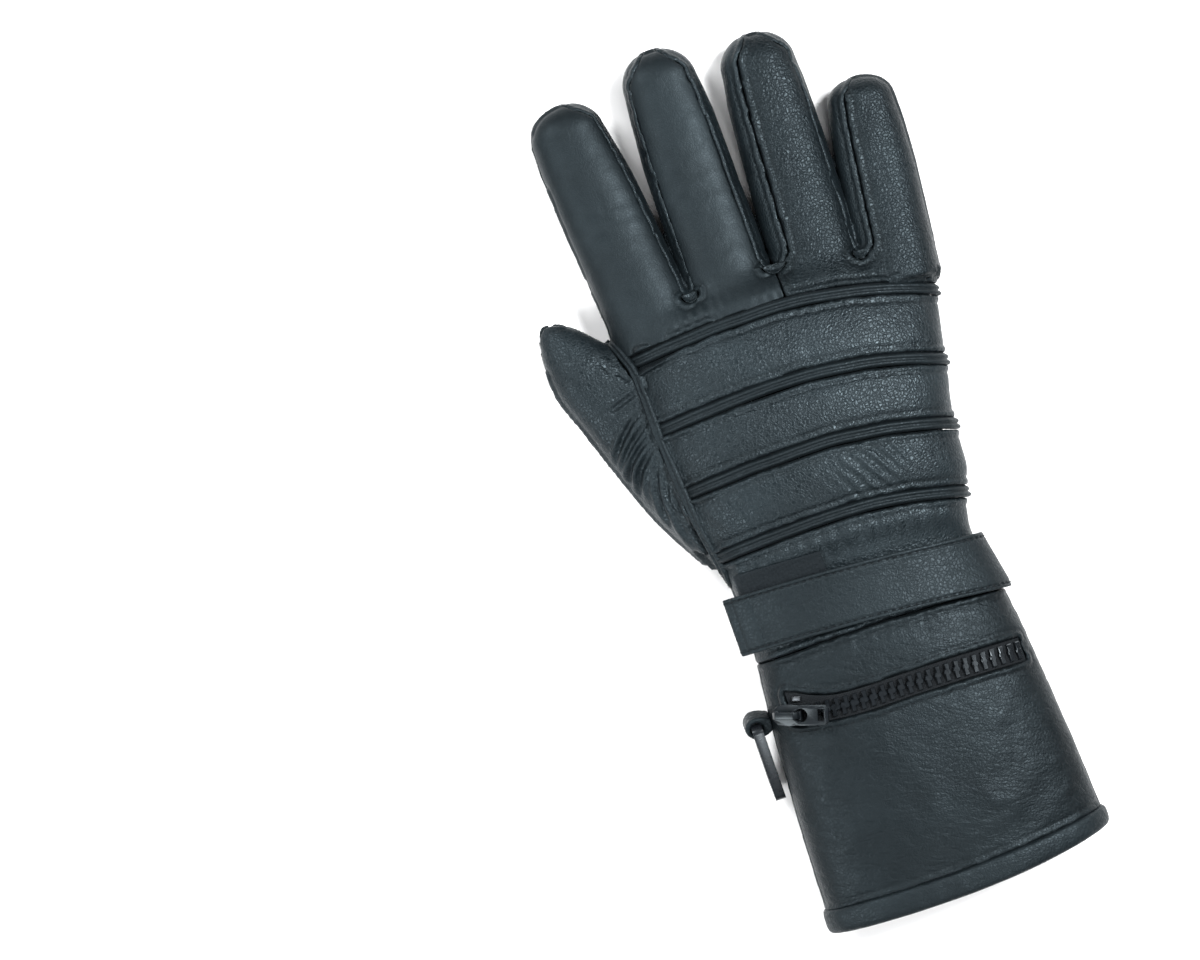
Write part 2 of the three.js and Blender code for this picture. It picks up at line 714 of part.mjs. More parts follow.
function strapSolid() {
  const under = seatOnWrist + patchThickness + 2 * gap;
  const turns = [4, 12, 24, 42, 64, 90, 114, 132, 145];
  const shares = [0.5, 0.42, -0.42, -0.5];
  const edgeDrop = [0.5, 0, 0, 0.5];
  const grid = (offset, drop) =>
    turns.map((turn) =>
      shares.map((share, i) => strapPoint(turn, share, offset - drop * edgeDrop[i])),
    );
  const [over, below] = [grid(under + strapThickness, 1), grid(under, 0)];
  const outEnd = acrossMm(body.left(strapPlace)) - strapFreeEnd;
  [0.55, 1].forEach((reach, step) => {
    [over, below].forEach((side) => {
      const last = side[turns.length - 1];
      side.push(
        last.map((point, i) => {
          const x = mix(point.x, outEnd, reach);
          const tuck = step === 1 ? 1 - 0.08 * edgeDrop[i] : 1;
          const y = strapLine(x, shares[i] * tuck);
          return new THREE.Vector3(x, y, point.z - 4.5 * reach ** 1.5);
        }),
      );
    });
  });
  return sheetOf(over, below);
}

function patchSolid() {
  const from = acrossMm(-40) + 1;
  const steps = [0, 0.16, 0.4, 0.7, 1].map((share) => from + share * patchLength);
  const grid = (offset) =>
    steps.map((x) =>
      [0.2, 0.5, 0.5 + patchPeek / strapWidth].map((share) => {
        const y = strapLine(x, share);
        return new THREE.Vector3(x, y, topAt(x, y, offset));
      }),
    );
  return sheetOf(grid(seatOnWrist + patchThickness), grid(seatOnWrist));
}

// Slider, in its own frame: x along the zip, z off the tape.
const shapeOf = (points) => new THREE.Shape(points.map(([x, y]) => new THREE.Vector2(x, y)));
const slabFrom = (shape, depth, curveSegments = 5) =>
  new THREE.ExtrudeGeometry(shape, { depth, bevelEnabled: false, curveSegments });

function sliderGeometry() {
  const [a, b] = [sliderLength / 2, sliderWidth / 2];
  const outline = shapeOf([
    [-a, -0.5 * b], [-0.7 * a, -0.85 * b], [0.1 * a, -b], [0.8 * a, -0.9 * b], [a, -0.6 * b],
    [a, 0.6 * b], [0.8 * a, 0.9 * b], [0.1 * a, b], [-0.7 * a, 0.85 * b], [-a, 0.5 * b],
  ]);
  const base = solidFrom(slabFrom(outline, sliderThickness));
  const [foot, top] = [0.92 * a, sliderThickness + crownClear + crownThickness];
  const [low, ceiling] = [sliderThickness - crownThickness, sliderThickness + crownClear];
  const arch = shapeOf([
    [-foot, low], [crownThickness - foot, low], [crownThickness - foot, ceiling - 0.4],
    [1.6 * crownThickness - foot, ceiling], [foot - 1.6 * crownThickness, ceiling],
    [foot - crownThickness, ceiling - 0.4], [foot - crownThickness, low], [foot, low],
    [foot, top - 1.4], [foot - 1.4, top], [1.4 - foot, top], [-foot, top - 1.4],
  ]);
  const crown = slabFrom(arch, crownWidth).rotateX(Math.PI / 2).translate(0, crownWidth / 2, 0);
  return geometryOf(base.add(solidFrom(crown)));
}

// Pull tab, in its own frame: its bar under the crown lies at the origin.
function tabGeometry() {
  const half = tabWidth / 2;
  const eyeCentre = tabBarHalf + tabEye;
  const shape = new THREE.Shape();
  shape.absarc(eyeCentre, 0, half, Math.PI / 2, 1.5 * Math.PI, false);
  const end = tabLength - tabBarHalf;
  shape.lineTo(end - 1, -half);
  shape.lineTo(end, 1 - half);
  shape.lineTo(end, half - 1);
  shape.lineTo(end - 1, half);
  shape.closePath();
  const eye = new THREE.Path();
  eye.absarc(eyeCentre, 0, tabEye, 0, 2 * Math.PI, true);
  const slot = new THREE.Path();
  const [near, far, side] = [end - tabBar - tabSlot, end - tabBar, half - tabBar];
  slot.moveTo(near, -side);
  slot.lineTo(near, side);
  slot.lineTo(far, side);
  slot.lineTo(far, -side);
  slot.closePath();
  shape.holes.push(eye, slot);
  return slabFrom(shape, tabThickness, 14).translate(0, 0, -tabThickness / 2);
}

// Leather loop out of the side seam, folded round the hook's end; its section lies in the plan.
const hookPlace = spot([-49.5, -36.5]);
const hookTop = 0.53 * handThickness;
function loopGeometry() {
  const seamX = acrossMm(body.left(alongShare(hookPlace[1]))) - gap - hookPlace[0];
  const round = loopEye + loopWall;
  const shape = new THREE.Shape();
  shape.moveTo(seamX, loopSeat + loopWall);
  shape.lineTo(0.5 * seamX, round - 0.6);
  shape.absarc(0, 0, round, 0.45 * Math.PI, 1.55 * Math.PI, false);
  shape.lineTo(0.5 * seamX, 0.6 - round);
  shape.lineTo(seamX, -loopSeat - loopWall);
  shape.closePath();
  const eye = new THREE.Path();
  eye.absarc(0, 0, loopEye, 0, 2 * Math.PI, true);
  shape.holes.push(eye);
  return slabFrom(shape, loopWidth, 5).translate(0, 0, -loopWidth / 2);
}

// Hook: a long flat ring that hangs on the loop and slopes down beside the cuff. x runs down its length.
function hookGeometry() {
  const ringOf = (Kind, inset, corner) => {
    const [near, far] = [inset - hookRod / 2, hookLength - hookRod / 2 - inset];
    const side = hookHeight / 2 - inset;
    const path = new Kind();
    path.moveTo(near + corner, -side);
    path.lineTo(far - corner, -side);
    path.absarc(far - corner, corner - side, corner, -Math.PI / 2, 0, false);
    path.absarc(far - corner, side - corner, corner, 0, Math.PI / 2, false);
    path.lineTo(near + corner, side);
    path.absarc(near + corner, side - corner, corner, Math.PI / 2, Math.PI, false);
    path.absarc(near + corner, corner - side, corner, Math.PI, 1.5 * Math.PI, false);
    path.closePath();
    return path;
  };
  const shape = ringOf(THREE.Shape, 0, hookRod);
  shape.holes.push(ringOf(THREE.Path, hookRod, hookRod * 0.3));
  return slabFrom(shape, hookWidth, 3).translate(0, 0, -hookWidth / 2);
}

const glove = new THREE.Group();

const finish = (color, roughness, metalness) =>
  new THREE.MeshStandardMaterial({ color, roughness, metalness });
const blackLeather = () => finish(0x333b41, 0.5, 0);
const blackPlastic = () => finish(0x16181a, 0.4, 0);
const blackMetal = () => finish(0x1c1e20, 0.3, 0.9);

function place(name, shape, material, parent = glove) {
  const geometry = shape.isBufferGeometry ? shape : geometryOf(shape);
  const mesh = new THREE.Mesh(geometry.index ? geometry.toNonIndexed() : geometry, material);
  mesh.name = name;
  mesh.geometry.computeVertexNormals();
  parent.add(mesh);
  return mesh;
}

fourchettes.forEach((solid, i) => place(`fourchette_${fourchetteNames[i]}`, solid, blackLeather()));
place("back_index_middle", fingerBacks[0], blackLeather());
place("back_ring_little", fingerBacks[1], blackLeather());
knucklePanels.forEach((solid, i) => place(`knuckle_panel_${i + 1}`, solid, blackLeather()));
ribPlaces.forEach((row, i) => place(`rib_welt_${i + 1}`, ribSolid(row), blackLeather()));
place("back_wrist", backWrist, blackLeather());
place("thumb_back", thumbBack, blackLeather());
place("thumb_front", thumbFront, blackLeather());
place("palm_fingers", palmFingers, blackLeather());
place("palm_patch", palmPatch, blackLeather());
place("palm_heel", palmHeel, blackLeather());
place("cuff_back", cuffBack, blackLeather());
place("cuff_palm", cuffPalm, blackLeather());
place("hem_binding", hemSolid(), blackLeather());
place("loop_patch", patchSolid(), finish(0x1b1c1e, 0.95, 0));
place("wrist_strap", strapSolid(), blackLeather());
place("zip_tape", zipTape, finish(0x15171a, 0.9, 0));
place("zip_teeth_upper", teethSolid(1), blackPlastic());
place("zip_teeth_lower", teethSolid(-1), blackPlastic());
place("zip_top_stop", stopSolid(), finish(0x8c8f92, 0.35, 0.9));

// The slider stands off the skin by the gap, turned along the zip and tipped as the cuff's side is.
const sliderAcross = -36;
const sliderHeading = THREE.MathUtils.degToRad(-17);
const sliderTip = THREE.MathUtils.degToRad(24);
const tabTip = THREE.MathUtils.degToRad(-6);
const sliderGroup = new THREE.Group();
const along = new THREE.Vector3(
  Math.cos(sliderHeading) * Math.cos(sliderTip),
  Math.sin(sliderHeading) * Math.cos(sliderTip),
  Math.sin(sliderTip),
);
const sideways = new THREE.Vector3(-Math.sin(sliderHeading), Math.cos(sliderHeading), 0);
const offTape = along.clone().cross(sideways);
sliderGroup.setRotationFromMatrix(new THREE.Matrix4().makeBasis(along, sideways, offTape));
const sliderX = acrossMm(sliderAcross);
const sliderPlace = new THREE.Vector3(sliderX, zipCentre(sliderX), 0);
const clearances = [-1, -0.5, 0, 0.5, 1].flatMap((u) =>
  [-1, 0, 1].map((v) => {
    const corner = along
      .clone()
      .multiplyScalar((u * sliderLength) / 2)
      .addScaledVector(sideways, (v * sliderWidth) / 2);
    const x = Math.max(sliderPlace.x + corner.x, acrossMm(body.left(zipPlace)) + 1);
    return topAt(x, sliderPlace.y + corner.y, 0) - corner.z;
  }),
);
sliderPlace.z = Math.max(...clearances) + gap;
sliderGroup.position.copy(sliderPlace);
place("zip_slider", sliderGeometry(), blackMetal(), sliderGroup);
const tabGroup = new THREE.Group();
tabGroup.position.set(
  0.92 * (sliderLength / 2) - crownThickness - tabBarHalf - 2 * gap,
  0,
  sliderThickness + crownClear / 2,
);
tabGroup.rotation.y = -tabTip;
place("pull_tab", tabGeometry(), blackMetal(), tabGroup);
sliderGroup.add(tabGroup);
glove.add(sliderGroup);

// The hook hangs from its loop, its far end just off the surface.
const clipGroup = new THREE.Group();
clipGroup.position.set(...hookPlace, hookTop);
clipGroup.rotation.x = Math.asin((hookTop - hookHeight / 2 - 2 * gap) / hookLength);
place("clip_loop", loopGeometry(), blackLeather(), clipGroup);
const hook = place("clip_hook", hookGeometry(), blackPlastic(), clipGroup);
hook.setRotationFromMatrix(
  new THREE.Matrix4().makeBasis(
    new THREE.Vector3(0, -1, 0),
    new THREE.Vector3(0, 0, 1),
    new THREE.Vector3(-1, 0, 0),
  ),
);
glove.add(clipGroup);

// The origin is the middle of the glove's footprint.
const extent = new THREE.Box3().setFromObject(glove);
const middle = extent.getCenter(new THREE.Vector3());
glove.position.set(-middle.x, -middle.y, -extent.min.z);

export default glove;
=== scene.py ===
import math

import bpy
import bmesh
import numpy as np
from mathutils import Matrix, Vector
from mathutils.bvhtree import BVHTree
from mathutils.kdtree import KDTree


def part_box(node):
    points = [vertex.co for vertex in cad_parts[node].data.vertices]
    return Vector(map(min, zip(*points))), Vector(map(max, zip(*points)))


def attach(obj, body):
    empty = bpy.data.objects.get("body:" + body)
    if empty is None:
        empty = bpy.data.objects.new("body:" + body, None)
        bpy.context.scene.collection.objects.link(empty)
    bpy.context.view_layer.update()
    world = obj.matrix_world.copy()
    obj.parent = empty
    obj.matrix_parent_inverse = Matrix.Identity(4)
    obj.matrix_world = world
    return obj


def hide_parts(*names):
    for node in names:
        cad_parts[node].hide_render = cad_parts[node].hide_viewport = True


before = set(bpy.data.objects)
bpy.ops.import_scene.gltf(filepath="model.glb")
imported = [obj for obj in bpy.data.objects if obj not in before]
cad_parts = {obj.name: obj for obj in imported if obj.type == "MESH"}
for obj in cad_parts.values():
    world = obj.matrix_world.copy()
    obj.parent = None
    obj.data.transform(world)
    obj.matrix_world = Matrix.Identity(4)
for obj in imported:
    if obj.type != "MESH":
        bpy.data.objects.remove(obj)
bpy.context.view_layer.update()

print("frame loaded:", len(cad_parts), "nodes")


def linked(name, data):
    piece = bpy.data.objects.new(name, data)
    bpy.context.scene.collection.objects.link(piece)
    return piece


# The view: straight down, the fingers turned a little to the left.
view = {
    "middle": (-0.07442, 0.02198),  # what the picture's centre looks at
    "width": 0.456,  # of the picture, at the glove's half height
    "turn": -19.5,
    "lens": 110.0,
    "sensor": 36.0,
    "halfHeight": 0.018,
}


def makeCamera():
    data = bpy.data.cameras.new("camera")
    data.lens = view["lens"]
    data.sensor_width = view["sensor"]
    camera = linked("camera", data)
    distance = view["width"] * view["lens"] / view["sensor"]
    camera.location = (*view["middle"], view["halfHeight"] + distance)
    camera.rotation_euler = (0, 0, math.radians(view["turn"]))
    data.clip_end = 20
    bpy.context.scene.camera = camera


makeCamera()

# Studio: a pale floor and soft boxes.
studio = {
    "floor": (0.88, 0.885, 0.89),
    "world": 0.09,
    "boxes": [  # place, size, watts
        ((0.60, 0.20, 1.05), 0.34, 30.0),
        ((-0.62, 0.85, 1.05), 0.5, 18.0),
        ((0.05, -0.85, 1.2), 0.45, 9.0),
        ((-1.0, -0.25, 0.9), 0.45, 15.0),
    ],
}


def makeStudio():
    world = bpy.data.worlds.new("softRoom")
    world.use_nodes = True
    world.node_tree.nodes["Background"].inputs[0].default_value = (1, 1, 1, 1)
    world.node_tree.nodes["Background"].inputs[1].default_value = studio["world"]
    bpy.context.scene.world = world
    bpy.context.scene.view_settings.view_transform = "Standard"
    for i, (place, size, watts) in enumerate(studio["boxes"]):
        data = bpy.data.lights.new(f"softBox{i}", "AREA")
        data.size = size
        data.energy = watts
        box = linked(f"softBox{i}", data)
        box.location = place
        box.rotation_euler = (Vector((0, 0, 0)) - Vector(place)).to_track_quat("-Z", "Y").to_euler()
    mesh = bpy.data.meshes.new("floor")
    reach = 6
    mesh.from_pydata(
        [(-reach, -reach, 0), (reach, -reach, 0), (reach, reach, 0), (-reach, reach, 0)],
        [], [(0, 1, 2, 3)],
    )
    floor = linked("floor", mesh)
    paper = bpy.data.materials.new("paper")
    paper.use_nodes = True
    shader = paper.node_tree.nodes["Principled BSDF"]
    shader.inputs["Base Color"].default_value = (*studio["floor"], 1)
    shader.inputs["Roughness"].default_value = 0.8
    mesh.materials.append(paper)


makeStudio()
print("camera, floor and lights done")

# The glove's form: the same tables as its solids, in pattern millimetres.
patternMiddle = np.array([0.422210693359375, 36.51610565185547, 0.0])
glove = {
    "palmWidth": 100.0,
    "handLength": 100.0,
    "cuffLength": 134.0,
    "handThickness": 36.0,
    "fingerThickness": 24.0,
    "restDip": 0.7,
    "slantDrop": 28.0,
    "puff": 1.8,
    "round": 2.4,
    "fingerBlend": 0.6,  # how wide the fingers run into one another
    "handBlend": 4.0,
}
# place along, left and right edge, height, lift, slant and puff of a section
bodyRows = [
    (-100, -47.5, 63.6, 110, -2, -0.5, 0), (-93, -47.3, 63.6, 110, -1, -0.3, 0),
    (-75, -46.4, 62.8, 108, 3, 0, 0.3), (-54, -45, 60.7, 105, 5, 0.15, 0.25),
    (-38, -43.4, 59, 102, 5, 0.3, 0), (-30, -42.3, 57.8, 99, 5, 0.4, 0.5),
    (-20, -40.8, 55.8, 95, 5, 0.5, 0), (-13, -40, 54, 91, 5, 0.65, 0),
    (-6, -39.5, 52.5, 89, 5, 0.8, 0), (2, -40.2, 54, 90, 5, 1, 0.5),
    (9, -41.7, 56.5, 94, 5, 1, 1), (17, -43, 59, 97, 5, 1, 0), (24, -44.2, 59.7, 99, 5, 1, 0.9),
    (37, -46.1, 60.8, 101, 5, 1, 0.9), (44, -46.7, 62, 102, 5, 1, 0),
    (51, -47.1, 63.8, 102, 5, 1, 0.9), (63, -47.9, 66.2, 99, 5, 1, 0.9),
    (70, -48, 67.8, 98, 5, 1, 0), (77, -48, 69.5, 96, 5, 1, 0.9), (91, -48.3, 73, 91, 3, 1, 0.8),
    (98, -49, 75, 87, 2, 1, 0), (105, -50, 76, 82, 1, 1, 0.5), (115, -51.5, 77, 73, 1, 1, 0),
]
bodyEnd = {"row": 115, "ease": 12.0}
# across, along, lean, length and width
fingerRows = [
    (-33, 95, -5.5, 104, 34), (-2.5, 95, 0.3, 112, 34), (31, 95, 3, 105.5, 34),
    (60, 92, 6.8, 80, 30.5),
]
fingerProfile = [(0, 0.93, 1.2), (0.18, 1, 1.13), (0.46, 0.985, 1), (0.74, 0.935, 0.94),
                 (0.88, 0.845, 0.86)]
fingerTip = 0.88
thumb = {"angle": 35, "width": 34.0, "thickness": 23.0, "tipPower": 1.5, "tipRound": 0.65,
         "calmTip": 12.0}
thumbRows = [(-20, 28, 1.7, 1.2), (-34, 47, 1.59, 1.2), (-47, 66, 1.29, 1.1),
             (-58, 83, 1, 1.02), (-66, 97, 0.82, 0.97)]
thumbTip = (-76, 121)


def follow(rows, column, places):
    x = np.array([row[0] for row in rows], float)
    y = np.array([row[column] for row in rows], float)
    slope = np.empty_like(y)
    slope[1:-1] = (y[2:] - y[:-2]) / (x[2:] - x[:-2])
    slope[0] = (y[1] - y[0]) / (x[1] - x[0])
    slope[-1] = (y[-1] - y[-2]) / (x[-1] - x[-2])
    at = np.clip(places, x[0], x[-1])
    i = np.clip(np.searchsorted(x, at, side="right") - 1, 0, len(x) - 2)
    step = x[i + 1] - x[i]
    t = (at - x[i]) / step
    t2, t3 = t * t, t * t * t
    return ((2 * t3 - 3 * t2 + 1) * y[i] + (t3 - 2 * t2 + t) * step * slope[i]
            + (3 * t2 - 2 * t3) * y[i + 1] + (t3 - t2) * step * slope[i + 1])


# One table of the body read at 0.25 steps, so that a hundred thousand points stay quick.
bodySteps = np.arange(-108, 124, 0.25)
bodyFine = [follow(bodyRows, column, bodySteps) for column in range(1, 7)]


def bodyColumn(column, row):
    return np.interp(row, bodySteps, bodyFine[column - 1])


def alongMm(row):
    row = np.asarray(row, float)
    return row / 100 * np.where(row < 0, glove["cuffLength"], glove["handLength"])


def alongShare(y):
    y = np.asarray(y, float)
    return 100 * y / np.where(y < 0, glove["cuffLength"], glove["handLength"])


def slantAt(row, x):
    side = np.where(np.asarray(x) < 0, 0.3, 1.0)
    return -glove["slantDrop"] * bodyColumn(5, row) * (x / glove["palmWidth"]) ** 2 * side


def rowAt(x, y):
    row = alongShare(y)
    for _ in range(4):
        row = alongShare(y - slantAt(row, x))
    return row


def sectionAt(row, offset=0.0):
    y = alongMm(row)
    edges = []
    for column in (1, 2):
        first = bodyColumn(column, row)
        edges.append(bodyColumn(column, alongShare(y + slantAt(row, first))))
    halfHeight = bodyColumn(3, row) / 100 * glove["handThickness"] / 2
    under = bodyColumn(4, row) / 100 * glove["handThickness"] - glove["restDip"]
    return ((edges[0] + edges[1]) / 2, under + halfHeight, (edges[1] - edges[0]) / 2 + offset,
            halfHeight + offset, bodyColumn(6, row) * glove["puff"])


def skinAt(row, turn, offset=0.0):
    centreX, centreZ, halfWidth, halfHeight, puff = sectionAt(row, offset)
    angle = np.radians(turn)
    cosine, sine = np.cos(angle), np.sin(angle)
    power = 2 / glove["round"]
    x = centreX + halfWidth * np.sign(cosine) * np.abs(cosine) ** power
    swell = np.where(np.asarray(offset) >= 0, puff * np.maximum(0, sine) ** 0.5, 0)
    z = centreZ + halfHeight * np.sign(sine) * np.abs(sine) ** power + swell
    return np.stack(np.broadcast_arrays(x, alongMm(row) + slantAt(row, x), z), axis=-1)


def topAt(x, y, offset=0.0):
    centreX, centreZ, halfWidth, halfHeight, puff = sectionAt(rowAt(x, y), offset)
    off = np.minimum(0.995, np.abs(x - centreX) / halfWidth)
    arch = (1 - off ** glove["round"]) ** (1 / glove["round"])
    return centreZ + halfHeight * arch + puff * arch ** 0.6


def ratio(across, up):
    power = glove["round"]
    return (np.abs(across) ** power + np.abs(up) ** power + 1e-9) ** (1 / power)


def blend(a, b, width):
    near = np.maximum(width - np.abs(a - b), 0) / width
    return np.minimum(a, b) - near * near * width / 4


def bodyField(p):
    x, y, z = p.T
    row = rowAt(x, y)
    centreX, centreZ, halfWidth, halfHeight, puff = sectionAt(row)
    across = (x - centreX) / halfWidth
    arch = np.maximum(0, 1 - np.abs(across) ** glove["round"]) ** (1 / glove["round"])
    swell = np.where(z > centreZ, puff * arch ** 0.6, 0)
    field = (ratio(across, (z - swell - centreZ) / halfHeight) - 1) * halfHeight
    end = alongMm(bodyEnd["row"]) + slantAt(bodyEnd["row"], x) - y
    return -blend(-field, end, bodyEnd["ease"])


def fingerField(finger, p):
    across, along, lean, length, width = finger
    angle = math.radians(lean)
    dx, dy = p[:, 0] - across, p[:, 1] - along
    share = (dx * math.sin(angle) + dy * math.cos(angle)) / length
    side = dx * math.cos(angle) - dy * math.sin(angle)
    wide = follow(fingerProfile, 1, share) * width / 2
    high = follow(fingerProfile, 2, share)
    centreZ = glove["fingerThickness"] / 2 * np.maximum(0.93, high) - glove["restDip"]
    high = high * glove["fingerThickness"] / 2
    section = ratio(side / wide, (p[:, 2] - centreZ) / high)
    beyond = np.maximum(0, share - fingerTip) / (1 - fingerTip)
    field = (np.sqrt(section ** 2 + beyond ** 2) - 1) * high
    return np.maximum(field, -share * length)


def thumbField(p):
    angle = math.radians(thumb["angle"])
    ways = (-math.sin(angle), math.cos(angle)), (math.cos(angle), math.sin(angle))
    at = lambda x, y: [x * way[0] + y * way[1] for way in ways]
    rows = [(*at(x, y), wide, high) for x, y, wide, high in thumbRows]
    tip = at(*thumbTip)[0]
    along, side = at(p[:, 0], p[:, 1])
    middle = follow(rows, 1, along)
    beyond = np.clip((along - rows[-1][0]) / (tip - rows[-1][0]), 0, None)
    endSlope = (at(*thumbTip)[1] - rows[-1][1]) * np.minimum(beyond, 1.2)
    wide = follow(rows, 2, along) * thumb["width"] / 2
    high = follow(rows, 3, along)
    centreZ = (thumb["thickness"] / 2 - glove["restDip"]) * np.maximum(1, high)
    high = high * thumb["thickness"] / 2
    section = ratio((side - middle - endSlope) / wide, (p[:, 2] - centreZ) / high)
    field = (section ** (1 / thumb["tipRound"]) + beyond ** thumb["tipPower"] - 1)
    return np.maximum(field * high * thumb["tipRound"], rows[0][0] - along)


def skinField(p):
    fingers = fingerField(fingerRows[0], p)
    for finger in fingerRows[1:]:
        fingers = blend(fingers, fingerField(finger, p), glove["fingerBlend"])
    hand = blend(fingers, bodyField(p), glove["handBlend"])
    return blend(hand, thumbField(p), glove["handBlend"])


def slopeOf(p, step=0.15):
    slope = np.empty_like(p)
    for axis in range(3):
        move = np.zeros(3)
        move[axis] = step
        slope[:, axis] = (skinField(p + move) - skinField(p - move)) / (2 * step)
    return slope


def depthOf(p):
    field, slope = skinField(p), slopeOf(p)
    size = np.linalg.norm(slope, axis=1) + 1e-6
    return field / size, slope / size[:, None]


# Finishes.
def addNode(tree, kind, **values):
    node = tree.nodes.new(kind)
    for key, value in values.items():
        if key in node.inputs:
            node.inputs[key].default_value = value
        else:
            setattr(node, key, value)
    return node


def rampNode(tree, source, stops):
    node = addNode(tree, "ShaderNodeValToRGB")
    for i, (place, colour) in enumerate(stops):
        stop = node.color_ramp.elements[i] if i < 2 else node.color_ramp.elements.new(place)
        stop.position = place
        stop.color = (*colour, 1)
    tree.links.new(source, node.inputs["Fac"])
    return node.outputs["Color"]


def rangeNode(tree, source, low, high):
    node = addNode(tree, "ShaderNodeMapRange")
    node.inputs["To Min"].default_value = low
    node.inputs["To Max"].default_value = high
    tree.links.new(source, node.inputs["Value"])
    return node.outputs["Result"]


def noiseNode(tree, place, scale, detail=2.0, distortion=0.0):
    node = addNode(tree, "ShaderNodeTexNoise", Scale=scale, Detail=detail, Distortion=distortion)
    tree.links.new(place, node.inputs["Vector"])
    return node.outputs["Fac"]


def bumpNode(tree, height, strength, distance, before=None):
    node = addNode(tree, "ShaderNodeBump", Strength=strength, Distance=distance)
    tree.links.new(height, node.inputs["Height"])
    if before:
        tree.links.new(before, node.inputs["Normal"])
    return node.outputs["Normal"]


def newFinish(name, shaderValues):
    material = bpy.data.materials.new(name)
    material.use_nodes = True
    tree = material.node_tree
    shader = tree.nodes["Principled BSDF"]
    for key, value in shaderValues.items():
        shader.inputs[key].default_value = value
    place = addNode(tree, "ShaderNodeTexCoord").outputs["Object"]
    return material, tree, shader, place


leather = {
    "dark": (0.0012, 0.0024, 0.0032),
    "middle": (0.0025, 0.0044, 0.0056),
    "light": (0.0050, 0.0080, 0.0098),
    "grain": 720.0,  # pebbles to the metre
    "grainDepth": 0.00036,
    "creaseDepth": 0.00045,
    "gloss": (0.24, 0.48),
    "grainGloss": 0.16,  # how much rougher the grain's valleys are
    "shine": 0.27,
    "creases": 260.0,
    "stretch": (1.0, 2.2, 1.0),  # how long the creases are along each axis
    "creaseTurn": 0.0,
}


def makeLeather(name, shade, changes):
    s = {**leather, **changes}
    material, tree, shader, place = newFinish(name, {
        "Sheen Weight": 0.01, "Sheen Roughness": 0.5, "Sheen Tint": (0.62, 0.78, 0.88, 1),
        "Specular IOR Level": s["shine"], "Specular Tint": (0.72, 0.90, 1.0, 1),
    })
    link = tree.links.new
    patches = noiseNode(tree, place, 34, 3, 0.3)
    tint = rampNode(tree, patches, [
        (0.28, [shade * c for c in s["dark"]]), (0.72, [shade * c for c in s["light"]]),
        (0.5, [shade * c for c in s["middle"]])])
    warp = addNode(tree, "ShaderNodeMixRGB", blend_type="LINEAR_LIGHT", Fac=0.0008)
    fine = addNode(tree, "ShaderNodeTexNoise", Scale=700.0, Detail=1.0)
    link(place, fine.inputs["Vector"])
    link(place, warp.inputs["Color1"])
    link(fine.outputs["Color"], warp.inputs["Color2"])
    pebble = addNode(tree, "ShaderNodeTexVoronoi", Scale=s["grain"])
    pebble.feature = "DISTANCE_TO_EDGE"
    link(warp.outputs["Color"], pebble.inputs["Vector"])
    grain = rangeNode(tree, pebble.outputs["Distance"], 0.0, 1.0)
    crack = addNode(tree, "ShaderNodeMath", operation="POWER")
    crack.inputs[1].default_value = 0.45
    link(grain, crack.inputs[0])
    # soft creases, longer one way than the other
    stretch = addNode(tree, "ShaderNodeMapping", vector_type="TEXTURE")
    stretch.inputs["Scale"].default_value = s["stretch"]
    stretch.inputs["Rotation"].default_value = (0, 0, math.radians(s["creaseTurn"]))
    link(place, stretch.inputs["Vector"])
    crease = noiseNode(tree, stretch.outputs["Vector"], s["creases"], 4, 1.2)
    low = addNode(tree, "ShaderNodeTexNoise", Scale=95.0, Detail=3.0, Distortion=0.8)
    link(place, low.inputs["Vector"])
    normal = bumpNode(tree, low.outputs["Fac"], 0.4, 0.0005)
    normal = bumpNode(tree, crease, 0.5, s["creaseDepth"], normal)
    normal = bumpNode(tree, crack.outputs["Value"], 0.55, s["grainDepth"], normal)
    link(normal, shader.inputs["Normal"])
    # painted shade: the grain's valleys are darker, and so are the seams and grooves
    # painted shade in the grain's hollows
    valleyShade = rampNode(tree, grain, [(0.0, (0.55, 0.55, 0.55)), (0.16, (1, 1, 1))])
    valleyShaded = addNode(tree, "ShaderNodeMixRGB", blend_type="MULTIPLY", Fac=0.7)
    link(tint, valleyShaded.inputs["Color1"])
    link(valleyShade, valleyShaded.inputs["Color2"])
    # painted shade: the seam attribute darkens the colour along seams and grooves and on inner and
    # under faces
    seam = addNode(tree, "ShaderNodeAttribute", attribute_name="seam")
    edge = rampNode(tree, seam.outputs["Fac"], [(0.0, (1, 1, 1)), (1.0, (0.42, 0.42, 0.42))])
    seamShaded = addNode(tree, "ShaderNodeMixRGB", blend_type="MULTIPLY", Fac=1.0)
    link(valleyShaded.outputs["Color"], seamShaded.inputs["Color1"])
    link(edge, seamShaded.inputs["Color2"])
    link(seamShaded.outputs["Color"], shader.inputs["Base Color"])
    rough = addNode(tree, "ShaderNodeMath", operation="MULTIPLY_ADD")
    link(rampNode(tree, grain, [(0.0, (1, 1, 1)), (0.3, (0, 0, 0))]), rough.inputs[0])
    rough.inputs[1].default_value = s["grainGloss"]
    link(rangeNode(tree, crease, s["gloss"][0], s["gloss"][1]), rough.inputs[2])
    link(rough.outputs["Value"], shader.inputs["Roughness"])
    return material


